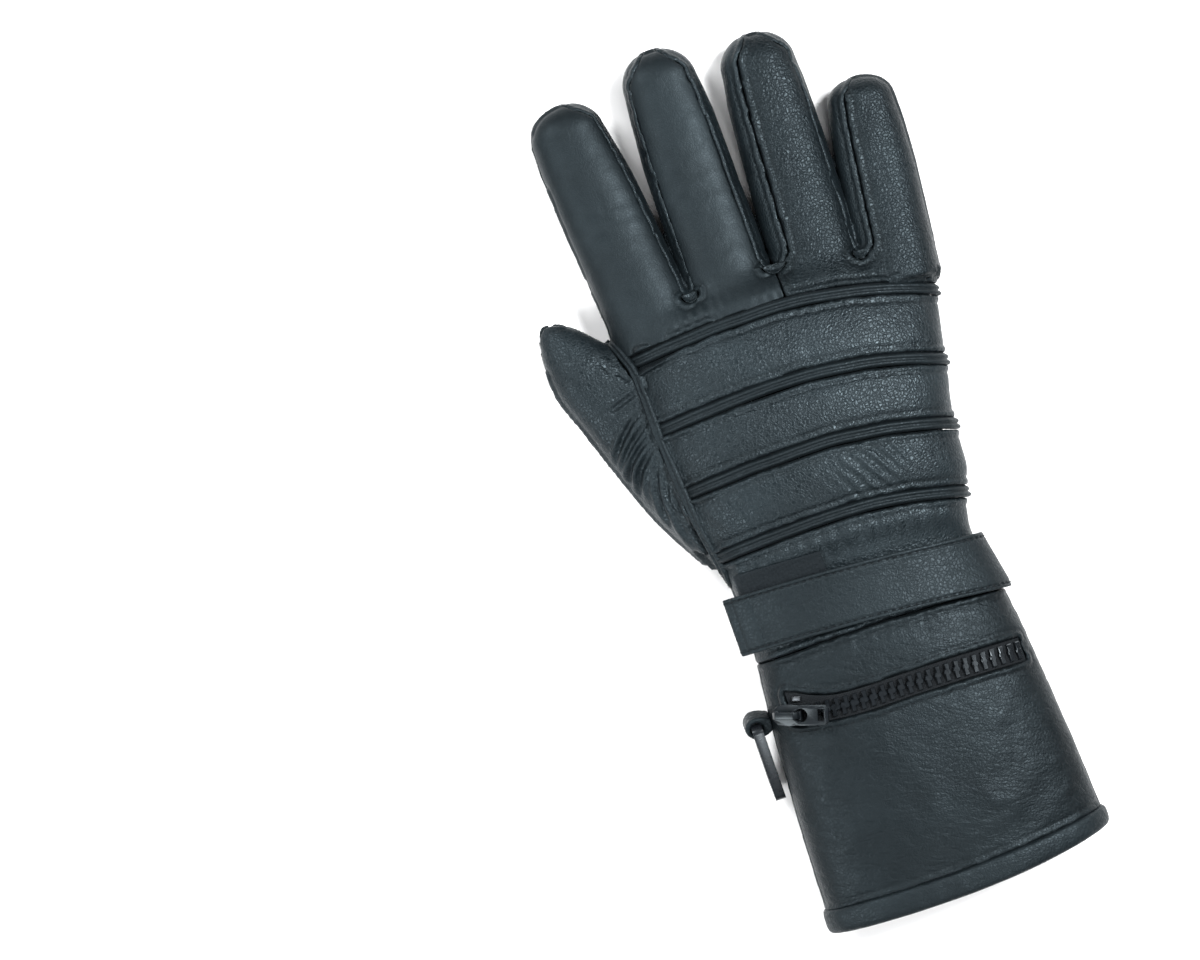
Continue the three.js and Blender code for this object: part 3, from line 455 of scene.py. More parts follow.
backLeather = makeLeather("backLeather", 1.0, {})
fingerLeather = makeLeather("fingerLeather", 0.8, {"shine": 0.2})
smoothLeather = makeLeather("smoothLeather", 0.9, {
    "grain": 1000.0, "grainDepth": 0.00009, "creaseDepth": 0.00022, "gloss": (0.38, 0.58),
    "grainGloss": 0.04, "shine": 0.24})
cuffLeather = makeLeather("cuffLeather", 0.62, {
    "grainDepth": 0.0002, "creaseDepth": 0.0008, "gloss": (0.3, 0.56), "grainGloss": 0.08,
    "shine": 0.2, "creases": 330.0, "stretch": (2.8, 1.0, 1.0), "creaseTurn": view["turn"]})
palmLeather = makeLeather("palmLeather", 0.85, {"grain": 1300.0, "gloss": (0.42, 0.6)})
trimLeather = makeLeather("trimLeather", 0.78, {
    "grainDepth": 0.00022, "creaseDepth": 0.0006, "gloss": (0.32, 0.54), "shine": 0.23,
    "creases": 330.0, "stretch": (2.4, 1.0, 1.0), "creaseTurn": -10.0})


def makeWeave(name, settings):
    material, tree, shader, place = newFinish(name, {
        "Base Color": (*settings["colour"], 1), "Roughness": 0.85, "Specular IOR Level": 0.15,
        "Sheen Weight": 0.06, "Sheen Tint": (0.55, 0.75, 0.9, 1)})
    turned = addNode(tree, "ShaderNodeMapping")
    turned.inputs["Rotation"].default_value = (0, 0, settings["turn"])
    tree.links.new(place, turned.inputs["Vector"])
    waves = []
    for way in "XY":
        wave = addNode(tree, "ShaderNodeTexWave", Scale=settings["threads"], Distortion=0.6)
        wave.bands_direction = way
        tree.links.new(turned.outputs["Vector"], wave.inputs["Vector"])
        waves.append(wave.outputs["Fac"])
    cross = addNode(tree, "ShaderNodeMath", operation="MULTIPLY")
    for i, wave in enumerate(waves):
        tree.links.new(wave, cross.inputs[i])
    low, high = [[c * share for c in settings["colour"]] for share in (0.45, 1.5)]
    tint = rampNode(tree, cross.outputs["Value"], [(0.0, low), (0.7, high)])
    tree.links.new(tint, shader.inputs["Base Color"])
    tree.links.new(bumpNode(tree, cross.outputs["Value"], 0.8, 0.00018),
                   shader.inputs["Normal"])
    return material


def makeGloss(name, settings):
    material, tree, shader, place = newFinish(name, settings["shader"])
    link = tree.links.new
    spots = noiseNode(tree, place, settings["scale"], 4)
    colour = settings["colour"]
    tint = rampNode(tree, spots, [(0.3, [c * 0.75 for c in colour]),
                                  (0.7, [c * 1.3 for c in colour])])
    link(tint, shader.inputs["Base Color"])
    low, high = settings["gloss"]
    link(rangeNode(tree, noiseNode(tree, place, 900, 3), low, high), shader.inputs["Roughness"])
    link(bumpNode(tree, spots, 0.25, settings["relief"]), shader.inputs["Normal"])
    return material


tapeWeave = makeWeave("tapeWeave", {"colour": (0.0055, 0.007, 0.0086), "threads": 520.0,
                                    "turn": 0.06})
threadFinish = makeWeave("threadFinish", {"colour": (0.0035, 0.0048, 0.006), "threads": 900.0,
                                          "turn": 0.8})
loopPile = makeWeave("loopPile", {"colour": (0.0055, 0.0085, 0.0108), "threads": 640.0,
                                  "turn": 0.5})
mouldedPlastic = makeGloss("mouldedPlastic", {
    "colour": (0.005, 0.006, 0.0075), "scale": 420, "gloss": (0.22, 0.36), "relief": 0.00006,
    "shader": {"Specular IOR Level": 0.42, "Specular Tint": (0.85, 0.94, 1, 1)}})
toothPlastic = makeGloss("toothPlastic", {
    "colour": (0.004, 0.005, 0.0062), "scale": 420, "gloss": (0.16, 0.3), "relief": 0.00005,
    "shader": {"Specular IOR Level": 0.6, "Specular Tint": (0.82, 0.93, 1, 1)}})
blackMetal = makeGloss("blackMetal", {
    "colour": (0.004, 0.0052, 0.0065), "scale": 300, "gloss": (0.24, 0.36), "relief": 0.00005,
    "shader": {"Coat Weight": 0.05, "Coat Roughness": 0.3, "Specular IOR Level": 0.2,
               "Specular Tint": (0.8, 0.93, 1, 1)}})
brightMetal = makeGloss("brightMetal", {
    "colour": (0.05, 0.055, 0.06), "scale": 500, "gloss": (0.32, 0.48), "relief": 0.00003,
    "shader": {"Metallic": 1.0}})
print("finishes done")


# Leather panels: each solid remeshed finely, set on the smooth skin, then worked.
def lump(p, size, seed):
    q = p / size + seed * 7.31
    cell = np.floor(q)
    part = q - cell
    part = part * part * (3 - 2 * part)
    total = np.zeros(len(p))
    for corner in range(8):
        step = np.array([corner & 1, corner >> 1 & 1, corner >> 2 & 1])
        at = cell + step
        value = np.sin(at @ np.array([127.1, 311.7, 74.7]) + seed) * 43758.5453
        weight = np.prod(np.where(step == 1, part, 1 - part), axis=1)
        total += weight * (value - np.floor(value))
    return total * 2 - 1


# place, direction of the folds from +X, half length, half width, distance, depth, top or under
folds = {
    "aboveStrap": (5, 8, 88, 5.5, 44, 6.5, 0.7, 1), "belowStrap": (5, -25, 94, 6, 42, 9.0, 0.75, 1),
    "rib4Wrinkles": (25, 29, -58, 9, 14, 4.1, 1.0, 1),
    "rib2Wrinkles": (-25, 60, 64, 8, 20, 6, 0.25, 1),
    "rib3Wrinkles": (-30, 33, 120, 9, 14, 5.5, 0.3, 1),
    "crotch1": (-18.5, 106, 90, 8, 10, 4.2, 0.45, 1), "crotch2": (17, 104, 88, 8, 10, 4.2, 0.45, 1),
    "crotch3": (46, 95, 84, 7, 10, 4.2, 0.45, 1), "knuckles": (10, 118, 0, 30, 10, 9, 0.2, 1),
    "thumbWeb": (-58, 90, 10, 9, 6, 3.4, 0.35, 1),
    "indexBend": (-40, 150, -8, 16, 14, 8, 0.22, 1), "middleBend": (-2, 155, 4, 16, 14, 9, 0.2, 1),
    "ringBend": (35, 150, 8, 16, 14, 8, 0.22, 1), "littleBend": (66, 132, 12, 14, 12, 8, 0.22, 1),
    "gathered": (8, -27, 86, 5, 44, 3.9, 0.34, 1),
    "cuffSoft": (10, -95, 70, 40, 60, 34, 0.5, 1), "cuffLow": (30, -112, 20, 40, 14, 16, 0.35, 1),
    "palmGather": (18, -12, 90, 6, 38, 5.5, 0.7, -1), "palmHeel": (10, 8, 100, 12, 36, 9, 0.3, -1),
    "palmHollow": (10, 60, 30, 30, 40, 17, 0.35, -1),
    "palmThumb": (-25, 60, 120, 22, 22, 11, 0.5, -1),
    "cuffUnder": (10, -90, 80, 40, 60, 30, 0.4, -1),
}
work = {
    "voxel": 0.00062,
    "outerDepth": (-1.9, 3.4),  # how far from the skin a solid's outer points may lie
    "wallDepth": (-1.7, -0.9),
    "sideways": 0.55,  # faces that look less outward than this belong to a wall
    "wallMove": (-0.8, -0.05),  # below this depth a wall meets its neighbour, above it moves this
    "atTip": 0.15,  # share of the relief that stays at the thumb's tip
    "roll": 0.55,  # height of the rolled edge beside a seam
    "thumbRoll": 0.75,  # and what the thumb's side adds to it
    "rollAt": (1.5, 0.8),  # how far from the seam it stands, and how wide
    "groove": 0.28,
    "grooveAt": (3.1, 0.6),
    "tuck": 0.55,
    "meet": 0.34,  # how far the walls of two panels are pushed together
    "unevenness": 0.26,
    "pucker": 0.22,
    "channels": False,
    "rounds": 5,
    "specks": 1,  # wall spots of fewer points than this aren't a seam
}


def foldsAt(p, upward):
    height = np.zeros(len(p))
    drift = lump(p * [1, 1, 0.3], 14.0, 3) * 1.6 + lump(p, 5.0, 5) * 0.5
    for x, y, angle, reach, spread, distance, depth, side in folds.values():
        way = math.radians(angle)
        dx, dy = p[:, 0] - x, p[:, 1] - y
        along = dx * math.cos(way) + dy * math.sin(way)
        across = dy * math.cos(way) - dx * math.sin(way)
        near = np.exp(-(along / reach) ** 2 - (across / spread) ** 2)
        wave = np.cos(2 * math.pi * across / distance + drift * 1.5)
        facing = np.clip(upward * side * 2, 0, 1)
        height += depth * near * facing * (0.5 - (0.5 + 0.5 * wave) ** 0.7)
    return height


def pointsOf(mesh):
    flat = np.empty(len(mesh.vertices) * 3)
    mesh.vertices.foreach_get("co", flat)
    return flat.reshape(-1, 3) * 1000 + patternMiddle


def placePoints(mesh, p):
    mesh.vertices.foreach_set("co", ((p - patternMiddle) / 1000).ravel())
    mesh.update()


def normalsOf(mesh):
    flat = np.empty(len(mesh.vertices) * 3)
    mesh.vertex_normals.foreach_get("vector", flat)
    return flat.reshape(-1, 3)


def evened(p, edges, where, rounds):
    count = np.bincount(edges.ravel(), minlength=len(p))[:, None]
    for _ in range(rounds):
        total = np.zeros_like(p)
        for a, b in ((0, 1), (1, 0)):
            for axis in range(3):
                total[:, axis] += np.bincount(edges[:, a], p[edges[:, b], axis], len(p))
        p = p + where[:, None] * 0.5 * (total / np.maximum(count, 1) - p)
    return p


# how much painted shade darkens each point's colour, kept as the seam attribute
def markSeamShade(mesh, dark):
    seam = mesh.attributes.new("seam", "FLOAT", "POINT")
    seam.data.foreach_set("value", np.asarray(dark, np.float32))


def edgesOf(mesh):
    flat = np.empty(len(mesh.edges) * 2, np.int64)
    mesh.edges.foreach_get("vertices", flat)
    return flat.reshape(-1, 2)


def facingOut(mesh):
    shell = bmesh.new()
    shell.from_mesh(mesh)
    bmesh.ops.recalc_face_normals(shell, faces=shell.faces)
    shell.to_mesh(mesh)
    shell.free()
    return mesh


def mergedCopy(node, flatAngle=None):
    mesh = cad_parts[node].data.copy()
    shell = bmesh.new()
    shell.from_mesh(mesh)
    bmesh.ops.remove_doubles(shell, verts=shell.verts, dist=1e-6)
    if flatAngle:
        bmesh.ops.dissolve_limit(shell, angle_limit=math.radians(flatAngle), verts=shell.verts,
                                 edges=shell.edges)
    shell.to_mesh(mesh)
    shell.free()
    return linked("source", mesh)


def appliedMesh(host):
    # what the host's modifiers make of it; the host itself goes
    evaluated = host.evaluated_get(bpy.context.evaluated_depsgraph_get())
    mesh = bpy.data.meshes.new_from_object(evaluated)
    bpy.data.objects.remove(host)
    return mesh


def remeshed(name, node, voxel):
    source = mergedCopy(node)
    modifier = source.modifiers.new("even", "REMESH")
    modifier.mode = "VOXEL"
    modifier.voxel_size = voxel * 1
    fine = appliedMesh(source)
    fine.name = name
    fine.materials.clear()
    return fine


def finishPiece(name, mesh, material, nodes, body="glove", smooth=True):
    mesh.materials.clear()
    mesh.materials.append(material)
    if smooth:
        mesh.shade_smooth()
    piece = linked(name, mesh)
    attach(piece, body)
    if nodes:
        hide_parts(*nodes)
    return piece


# Seam lines of the palm, across and along.
palmSeams = {
    "patchUpper": [(-44, 97.5), (-16, 101), (9, 98.5), (29, 96.5), (49, 96.5), (71, 93.5)],
    "patchLower": [(8.2, 24.6), (18, 23), (33, 21.5), (59, 18.5)],
    "thumb": [(-10, 69), (-4, 60), (-1, 46), (4, 32), (8, 24), (4, 14.5), (-6, 5), (-17, -0.5)],
}
crossLines = [
    [(9, 96.5), (26, 78.5), (43, 59), (55, 43.5), (60, 33)],
    [(70, 85.5), (57, 73.5), (41, 57.5), (25, 43.5), (8.5, 28.5)],
    [(7.5, 98.5), (7, 83.5), (8, 68.5), (9.5, 51.5), (10, 38.5), (8.5, 28.5)],
]
gather = {"from": -14, "to": 50, "along": -11.5, "half": 3.2, "period": 9.0}
channel = {"depth": 1.15, "width": 1.15, "gatherDepth": 0.85, "gatherPitch": 3.6}


def dense(line, step=0.6):
    line = np.asarray(line, float)
    gaps = np.linalg.norm(np.diff(line, axis=0), axis=1)
    at = np.concatenate([[0], np.cumsum(gaps)])
    places = np.arange(0, at[-1], step)
    p = np.column_stack([np.interp(places, at, line[:, k]) for k in range(2)])
    for _ in range(6):
        p[1:-1] = (p[:-2] + 2 * p[1:-1] + p[2:]) / 4
    return p


# Single folds of the thumb, which run from the side seam and down along it: depth and points.
thumbFolds = [
    (0.8, [(-48.6, 85.6), (-53.1, 84.3), (-59.1, 82.3), (-63.4, 80.5)]),
    (1.1, [(-49.9, 78.3), (-55.7, 75.1), (-60.6, 70.5), (-64.7, 65.3), (-66.2, 61)]),
    (1.0, [(-49.5, 73.7), (-54.5, 69.9), (-59.7, 65.7), (-63.6, 61.1), (-65.3, 57.3)]),
    (1.2, [(-49.8, 68.2), (-55.5, 65), (-60.6, 60.8), (-63.4, 55.8), (-63.7, 50)]),
    (1.1, [(-50.6, 63.6), (-54.2, 60.8), (-58.6, 56.4), (-61.3, 50.6), (-61.8, 45.2)]),
    (1.0, [(-50.4, 59.4), (-53.2, 53.7), (-55, 46.9), (-55.2, 39.5), (-53.2, 31.4)]),
    (1.1, [(-49.6, 56.9), (-51.7, 49.5), (-52.4, 42.3), (-51.4, 34.5), (-49.3, 25.5),
           (-47.3, 18.8)]),
    (1.1, [(-49.8, 51.8), (-50.2, 43.7), (-49.5, 35.3), (-47.6, 26.4), (-45.7, 19)]),
    (0.6, [(-59.3, 100.6), (-57.3, 97.7), (-57.9, 94.1)]),
    (0.7, [(-54.4, 95.5), (-51.7, 91.6), (-50.8, 88.7)]),
]
thumbFold = {"width": 0.9, "depth": 1.35, "sides": 2.1}


def nearestOn(line, p):
    # distance from the line, and how near its ends are, 0 to 1
    places = dense(line, 0.4)
    tree = KDTree(len(places))
    for i, (x, y) in enumerate(places):
        tree.insert((x, y, 0), i)
    tree.balance()
    found = [tree.find((x, y, 0))[1:] for x, y, _ in p]
    at = np.array([i for i, _ in found]) / len(places)
    return np.array([away for _, away in found]), np.clip(np.minimum(at, 1 - at) / 0.3, 0, 1)


def thumbFoldsAt(p):
    height = np.zeros(len(p))
    for depth, line in thumbFolds:
        away, whole = nearestOn(line, p)
        away = away / thumbFold["width"]
        trough, sides = np.exp(-away ** 2), np.exp(-(away - thumbFold["sides"]) ** 2)
        height += thumbFold["depth"] * depth * whole * (0.5 * sides - trough)
    return height


def channelsAt(p):
    away = np.min([nearestOn(line, p)[0] for line in crossLines], axis=0)
    height = -channel["depth"] * np.exp(-(away / channel["width"]) ** 2)
    along = np.clip(np.minimum(p[:, 0] - gather["from"], gather["to"] - p[:, 0]) / 5, 0, 1)
    band = np.exp(-((p[:, 1] - gather["along"]) / (2.2 * gather["half"])) ** 4)
    wave = np.cos(2 * math.pi * p[:, 0] / channel["gatherPitch"] + lump(p, 9.0, 12) * 2)
    return height - channel["gatherDepth"] * along * band * (0.5 + 0.5 * wave)


crotch = {"pull": 1.4, "spread": 2.1}


def crotchCorners():
    found = []
    for name in ("index_middle", "middle_ring", "ring_little"):
        p = pointsOf(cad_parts[f"fourchette_{name}"].data)
        low = p[p[:, 1] < p[:, 1].min() + 0.3]
        found.append((low[:, 0].min(), low[:, 0].max(), p[:, 1].min()))
    return found


crotches = crotchCorners()
print("finger crotches found:", len(crotches))


def roundCrotches(p):
    for left, right, low in crotches:
        half = (right - left) / 2
        for x, way in ((left, 1), (right, -1)):
            near = np.exp(-((p[:, 0] - x) ** 2 + (p[:, 1] - low) ** 2) / crotch["spread"] ** 2)
            near *= crotch["pull"] / math.hypot(half, half)
            p[:, 0] += way * half * near
            p[:, 1] += half * near
    return p


def joinedTo(seeds, allowed, edges, rounds=2):
    # the allowed points within a few edges of a seed
    reached = seeds.copy()
    for _ in range(rounds):
        touched = np.zeros(len(reached), bool)
        touched[edges[reached[edges[:, 1]], 0]] = True
        touched[edges[reached[edges[:, 0]], 1]] = True
        reached |= touched & allowed
    return reached


def withoutSpecks(mask, edges, least):
    # the masked points that hang together in groups of at least this many
    count = len(mask)
    label = np.where(mask, np.arange(count), count)
    pairs = edges[mask[edges].all(axis=1)]
    for _ in range(25):
        lowest = label[pairs].min(axis=1)
        np.minimum.at(label, pairs[:, 0], lowest)
        np.minimum.at(label, pairs[:, 1], lowest)
    return mask & (np.bincount(label, minlength=count + 1)[label] >= least)


def leatherPanel(node, material, changes=None):
    s = {**work, **(changes or {})}
    mesh = remeshed(node + "_leather", node, s["voxel"])
    p = roundCrotches(pointsOf(mesh))
    edges, faces = edgesOf(mesh), normalsOf(mesh)
    depth, outward = depthOf(p)
    facing = np.sum(faces * outward, axis=1)
    outer = (facing > s["sideways"]) & (depth > s["outerDepth"][0]) & (depth < s["outerDepth"][1])
    wallSide = (np.abs(facing) <= s["sideways"]) & (depth > s["wallDepth"][0])
    wallSide = joinedTo(wallSide & (depth < s["wallDepth"][1]), wallSide, edges)
    wallSide &= joinedTo(outer, wallSide, edges, 5)
    wallSide = withoutSpecks(wallSide, edges, s["specks"])
    for _ in range(2):
        p[outer] -= depth[outer][:, None] * outward[outer]
        again, newWay = depthOf(p[outer])
        depth[outer], outward[outer] = again, newWay
    near = np.full(len(p), 99.0)
    if wallSide.any():
        tree = KDTree(int(wallSide.sum()))
        for i, place in enumerate(p[wallSide]):
            tree.insert(place, i)
        tree.balance()
        near[outer] = [tree.find(place)[2] for place in p[outer]]
    near[wallSide] = 0
    below, least = s["wallMove"]
    push = np.where(depth[wallSide] < below, s["meet"], least)
    p[wallSide] += faces[wallSide] * push[:, None]
    up = outward[:, 2]
    thumbSide = np.clip((-34 - p[:, 0]) / 4, 0, 1) * np.clip((p[:, 1] + 9) / 4, 0, 1)
    thumbSide = thumbSide * np.clip((108 - p[:, 1]) / 6, 0, 1) * (s["roll"] > 0.3)
    (rollAt, rollWidth), (grooveAt, grooveWidth) = s["rollAt"], s["grooveAt"]
    roll = (s["roll"] + s["thumbRoll"] * thumbSide) * np.exp(-((near - rollAt) / rollWidth) ** 2)
    groove = -s["groove"] * np.exp(-((near - grooveAt) / grooveWidth) ** 2)
    tuck = -s["tuck"] * np.maximum(0, 1 - near / 1.0) ** 2
    flatUnder = np.clip((p[:, 2] - 0.2) / 1.5, 0, 1)
    uneven = s["unevenness"] * (lump(p, 17.0, 1) + 0.5 * lump(p, 7.0, 2))
    pucker = s["pucker"] * lump(p * [1, 1, 0.6], 3.4, 8) * np.exp(-near / 5)
    height = roll + groove + tuck + (uneven + pucker) * np.minimum(1, near / 2) + foldsAt(p, up)
    if node == "thumb_back":
        height += thumbFoldsAt(p) * np.clip(up * 2, 0, 1)
    if s["channels"]:
        height += channelsAt(p) * np.clip(-up * 2, 0, 1)
    fromTip = np.linalg.norm(p[:, :2] - thumbTip, axis=1)
    height = height * np.clip(fromTip / thumb["calmTip"], s["atTip"], 1)
    weight = np.where(outer, 1.0, np.where(wallSide, 0.6, 0.0)) * flatUnder
    p += outward * (height * weight)[:, None]
    soften = np.where(outer & (near > 1.6), 0.12, np.where(outer, 0.35, 0.9))
    soften = np.maximum(soften, np.clip(1.6 - fromTip / 5, 0, 0.9))
    p = evened(p, edges, soften, s["rounds"])
    low = p[:, 2] < 0
    p[low, 2] = 0
    placePoints(mesh, p)
    # painted shade kept in the seam attribute: darker beside the panel's walls, along the groove,
    # and on inner faces
    dark = np.clip(1.15 - near / 1.1, 0, 1) * np.where(outer | wallSide, 1, 0)
    dark = np.maximum(dark, np.where(outer | wallSide, 0, 0.8))
    dark = np.maximum(dark, 0.6 * np.exp(-((near - grooveAt) / 0.5) ** 2))
    markSeamShade(mesh, dark)
    return finishPiece(mesh.name, mesh, material, [node])


paddedNodes = ["knuckle_panel_1", "knuckle_panel_2", "knuckle_panel_3"]
sideNodes = ["fourchette_index_middle", "fourchette_middle_ring", "fourchette_ring_little",
             "thumb_back"]
palmNodes = ["palm_fingers", "palm_patch", "palm_heel", "thumb_front"]
for node in paddedNodes:
    leatherPanel(node, backLeather)
leatherPanel("back_wrist", backLeather, {"voxel": 0.00075})
leatherPanel("back_ring_little", fingerLeather)
leatherPanel("back_index_middle", smoothLeather,
             {"unevenness": 0.12, "pucker": 0.1, "specks": 6, "voxel": 0.00068})
leatherPanel("cuff_back", cuffLeather, {"voxel": 0.0007})
for node in sideNodes:
    leatherPanel(node, backLeather, {"voxel": 0.00085, "roll": 0.35})
leatherPanel("cuff_palm", cuffLeather, {"voxel": 0.0011})
for node in palmNodes:
    leatherPanel(node, palmLeather,
                 {"voxel": 0.001, "roll": 0.3, "channels": node in ("palm_patch", "palm_heel")})
print("leather panels done")


# Swept pieces: rings of points along a path.
def lofted(name, rings, hoop=False):
    count, sides = rings.shape[:2]
    p = rings.reshape(-1, 3)
    faces = []
    for i in range(count if hoop else count - 1):
        a, b = i * sides, (i + 1) % count * sides
        faces += [(a + k, a + (k + 1) % sides, b + (k + 1) % sides, b + k) for k in range(sides)]
    if not hoop:
        for end, way in ((0, 1), (count - 1, -1)):
            middle = len(p)
            p = np.vstack([p, rings[end].mean(axis=0)])
            ring = [end * sides + k for k in range(sides)]
            faces += [(middle, ring[(k + 1) % sides], ring[k])[::way] for k in range(sides)]
    mesh = bpy.data.meshes.new(name)
    mesh.from_pydata(((p - patternMiddle) / 1000).tolist(), [], faces)
    return facingOut(mesh)


def rounded(value, power):
    return np.sign(value) * np.abs(value) ** power


# Double welts of the ribs: a profile across, swept from side to side.
ribs = {"places": (98, 70, 44, 17), "width": 4.8, "height": 1.5, "groove": 0.95, "under": 1.6,
        "flange": 1.06, "turns": (-40, 180), "steps": 280, "sides": 44, "taper": (5, 4)}


def makeRibs():
    around = np.linspace(0, 2 * math.pi, ribs["sides"], endpoint=False)
    across = rounded(np.cos(around), 0.75)
    top = np.sin(around) > 0
    hump = np.abs(np.sin(math.pi * across)) ** 0.8
    rise = np.where(top, ribs["height"] - ribs["groove"] * (1 - hump), -ribs["under"])
    rise = rise * np.abs(np.sin(around)) ** 0.35
    across = across * np.where(top, 1.0, ribs["flange"])
    for i, row in enumerate(ribs["places"]):
        low = np.array(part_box(f"rib_welt_{i + 1}")[0]) * 1000 + patternMiddle
        turns = np.linspace(*ribs["turns"], 881)
        line = skinAt(row, turns)
        inside = (line[:, 0] > low[0] - 0.9) & (line[:, 2] > low[2] + 0.2)
        turns = np.linspace(turns[inside][0], turns[inside][-1], ribs["steps"])
        step = np.arange(ribs["steps"])
        toEnd = np.minimum(step / ribs["taper"][0], step[::-1] / ribs["taper"][1])
        ends = np.clip(toEnd, 0, 1)[:, None] ** 0.7
        centre = skinAt(row, turns)[:, None, :]
        over = skinAt(row, turns, 1.0)[:, None, :]
        under = skinAt(row, turns, -1.0)[:, None, :]
        outward = over - under
        outward = outward / np.linalg.norm(outward, axis=2, keepdims=True)
        flat = centre + np.zeros((1, ribs["sides"], 3))
        wander = 0.22 * lump(centre[:, 0], 11.0, 20 + i)[:, None]
        uneven = 0.12 * lump(flat.reshape(-1, 3), 5.0, 30 + i).reshape(flat.shape[:2])
        ridge = np.where(top, rise * ends - 0.3 * (1 - ends), rise) + uneven
        rings = flat + outward * ridge[:, :, None]
        rings[:, :, 1] += across[None, :] * ribs["width"] / 2 * 0.98 + wander
        mesh = lofted(f"rib_welt_{i + 1}_leather", rings)
        # painted shade: darker in the groove between the welts and underneath
        dark = np.where(top, 0.6 * (1 - hump), 0.9) * np.ones((ribs["steps"], 1))
        markSeamShade(mesh, [*dark.ravel(), 0, 0])
        finishPiece(mesh.name, mesh, trimLeather, [f"rib_welt_{i + 1}"])


makeRibs()
print("ribs done")

# The side seam between the thumb and the back: two rolled edges side by side.
sideSeam = {"line": [(-54.2, 109.5), (-52.6, 106), (-50.8, 101), (-48.6, 94), (-47.7, 80),
                     (-47.6, 65), (-46.2, 45), (-44.5, 27), (-42.0, 13), (-40.6, 5), (-40.0, -1)],
            "width": 3.8, "height": 1.15, "groove": 0.95, "under": 1.4, "sides": 30,
            "skyline": 48.0, "step": 0.2}


def groundOf(line):
    heights = np.arange(sideSeam["skyline"], 0, -sideSeam["step"])
    columns = np.array([(x, y, z) for x, y in line for z in heights])
    solid = skinField(columns).reshape(len(line), len(heights)) < 0
    first = np.where(solid.any(axis=1), solid.argmax(axis=1), len(heights) - 1)
    return np.column_stack([line, heights[first]])


def makeSideSeam():
    centre = groundOf(dense(sideSeam["line"], 0.5))
    for _ in range(12):
        centre[1:-1] = (centre[:-2] + 2 * centre[1:-1] + centre[2:]) / 4
    depth, outward = depthOf(centre)
    centre -= depth[:, None] * outward
    tangent = np.gradient(centre, axis=0)
    tangent /= np.linalg.norm(tangent, axis=1, keepdims=True)
    side = np.cross(outward, tangent)
    side /= np.linalg.norm(side, axis=1, keepdims=True)
    around = np.linspace(0, 2 * math.pi, sideSeam["sides"], endpoint=False)
    across, top = rounded(np.cos(around), 0.8), np.sin(around) > 0
    hump = np.abs(np.sin(math.pi * across)) ** 0.6
    rise = np.where(top, sideSeam["height"] - sideSeam["groove"] * (1 - hump), -sideSeam["under"])
    rise = rise * np.abs(np.sin(around)) ** 0.4
    step = np.arange(len(centre))
    ends = np.clip(np.minimum(step, step[::-1]) / 12, 0.0, 1)[:, None] ** 0.7
    change = 1 + 0.18 * lump(centre, 9.0, 91)[:, None]
    wander = 0.35 * lump(centre, 14.0, 92)[:, None]
    rise = np.where(top, rise * ends * change - 0.5 * (1 - ends), rise)
    out = across * sideSeam["width"] / 2 * (0.7 + 0.3 * ends) * change + wander
    rings = (centre[:, None, :] + side[:, None, :] * out[:, :, None]
             + outward[:, None, :] * rise[:, :, None])
    rings[:, :, 2] = np.maximum(rings[:, :, 2], 0)
    mesh = lofted("side_seam_leather", rings)
    finishPiece(mesh.name, mesh, trimLeather, [])


makeSideSeam()
print("side seam done")

# Rolled band round the mouth of the cuff.
hem = {"along": -129.2, "reach": 4.9, "out": 1.9, "inside": -2.9, "steps": 350, "sides": 40}


def makeHem():
    around = np.linspace(0, 2 * math.pi, hem["sides"], endpoint=False)
    y = hem["along"] + hem["reach"] * rounded(np.cos(around), 0.62)
    middle = (hem["out"] + hem["inside"]) / 2
    offset = middle + (hem["out"] - hem["inside"]) / 2 * rounded(np.sin(around), 0.72)
    turns = np.linspace(0, 360, hem["steps"], endpoint=False)
    rings = np.stack([skinAt(alongShare(a), turns, 0.0) for a in y], axis=1)
    wide = np.stack([skinAt(alongShare(a), turns, 1.0) for a in y], axis=1) - rings
    wide = wide / np.linalg.norm(wide, axis=2, keepdims=True)
    flat = rings.reshape(-1, 3)
    bumps = (0.3 * lump(flat, 13.0, 41) + 0.16 * lump(flat * [1, 0.4, 1], 3.5, 42)).reshape(
        rings.shape[:2])
    bumps = bumps * (np.sin(around) > -0.4)
    rings = rings + wide * (offset[None, :] + bumps)[:, :, None]
    rings[:, :, 2] = np.maximum(rings[:, :, 2], 0)
    mesh = lofted("hem_binding_leather", rings, hoop=True)
    finishPiece(mesh.name, mesh, trimLeather, ["hem_binding"])


makeHem()
print("hem done")

stitchPitch = 2.9

# Wrist strap: sewn at the little finger's side, free at the thumb's.
strap = {"place": -10, "fall": -0.075, "curve": -0.06, "width": 22.6, "thickness": 2.4,
         "under": 1.9, "freeEnd": 6, "endDrop": 4.5, "stitchInset": 1.7, "steps": 270,
         "sides": 76, "hole": 0.34, "endGroove": (3.4, 0.3)}


def strapLine(x, share):
    return (alongMm(strap["place"]) + strap["fall"] * x
            + strap["curve"] * x * x / glove["palmWidth"] + share * strap["width"])


def strapPoints(turn, share, offset):
    point = skinAt(strap["place"], turn, offset)
    for _ in range(4):
        point = skinAt(rowAt(point[..., 0], strapLine(point[..., 0], share)), turn, offset)
    return point


def strapAt(reach, share, offset):
    # reach 0 is the sewn end, 1 the turn where it leaves the wrist, 2 the free end
    turn = 4 + 141 * np.minimum(reach, 1)
    point = strapPoints(turn, share, offset)
    beyond = np.maximum(0, reach - 1)
    outEnd = bodyColumn(1, strap["place"]) - strap["freeEnd"]
    x = point[..., 0] * (1 - beyond) + outEnd * beyond
    y = np.where(beyond > 0, strapLine(x, share), point[..., 1])
    z = point[..., 2] - strap["endDrop"] * beyond ** 1.5
    return np.stack([x, y, z], axis=-1)


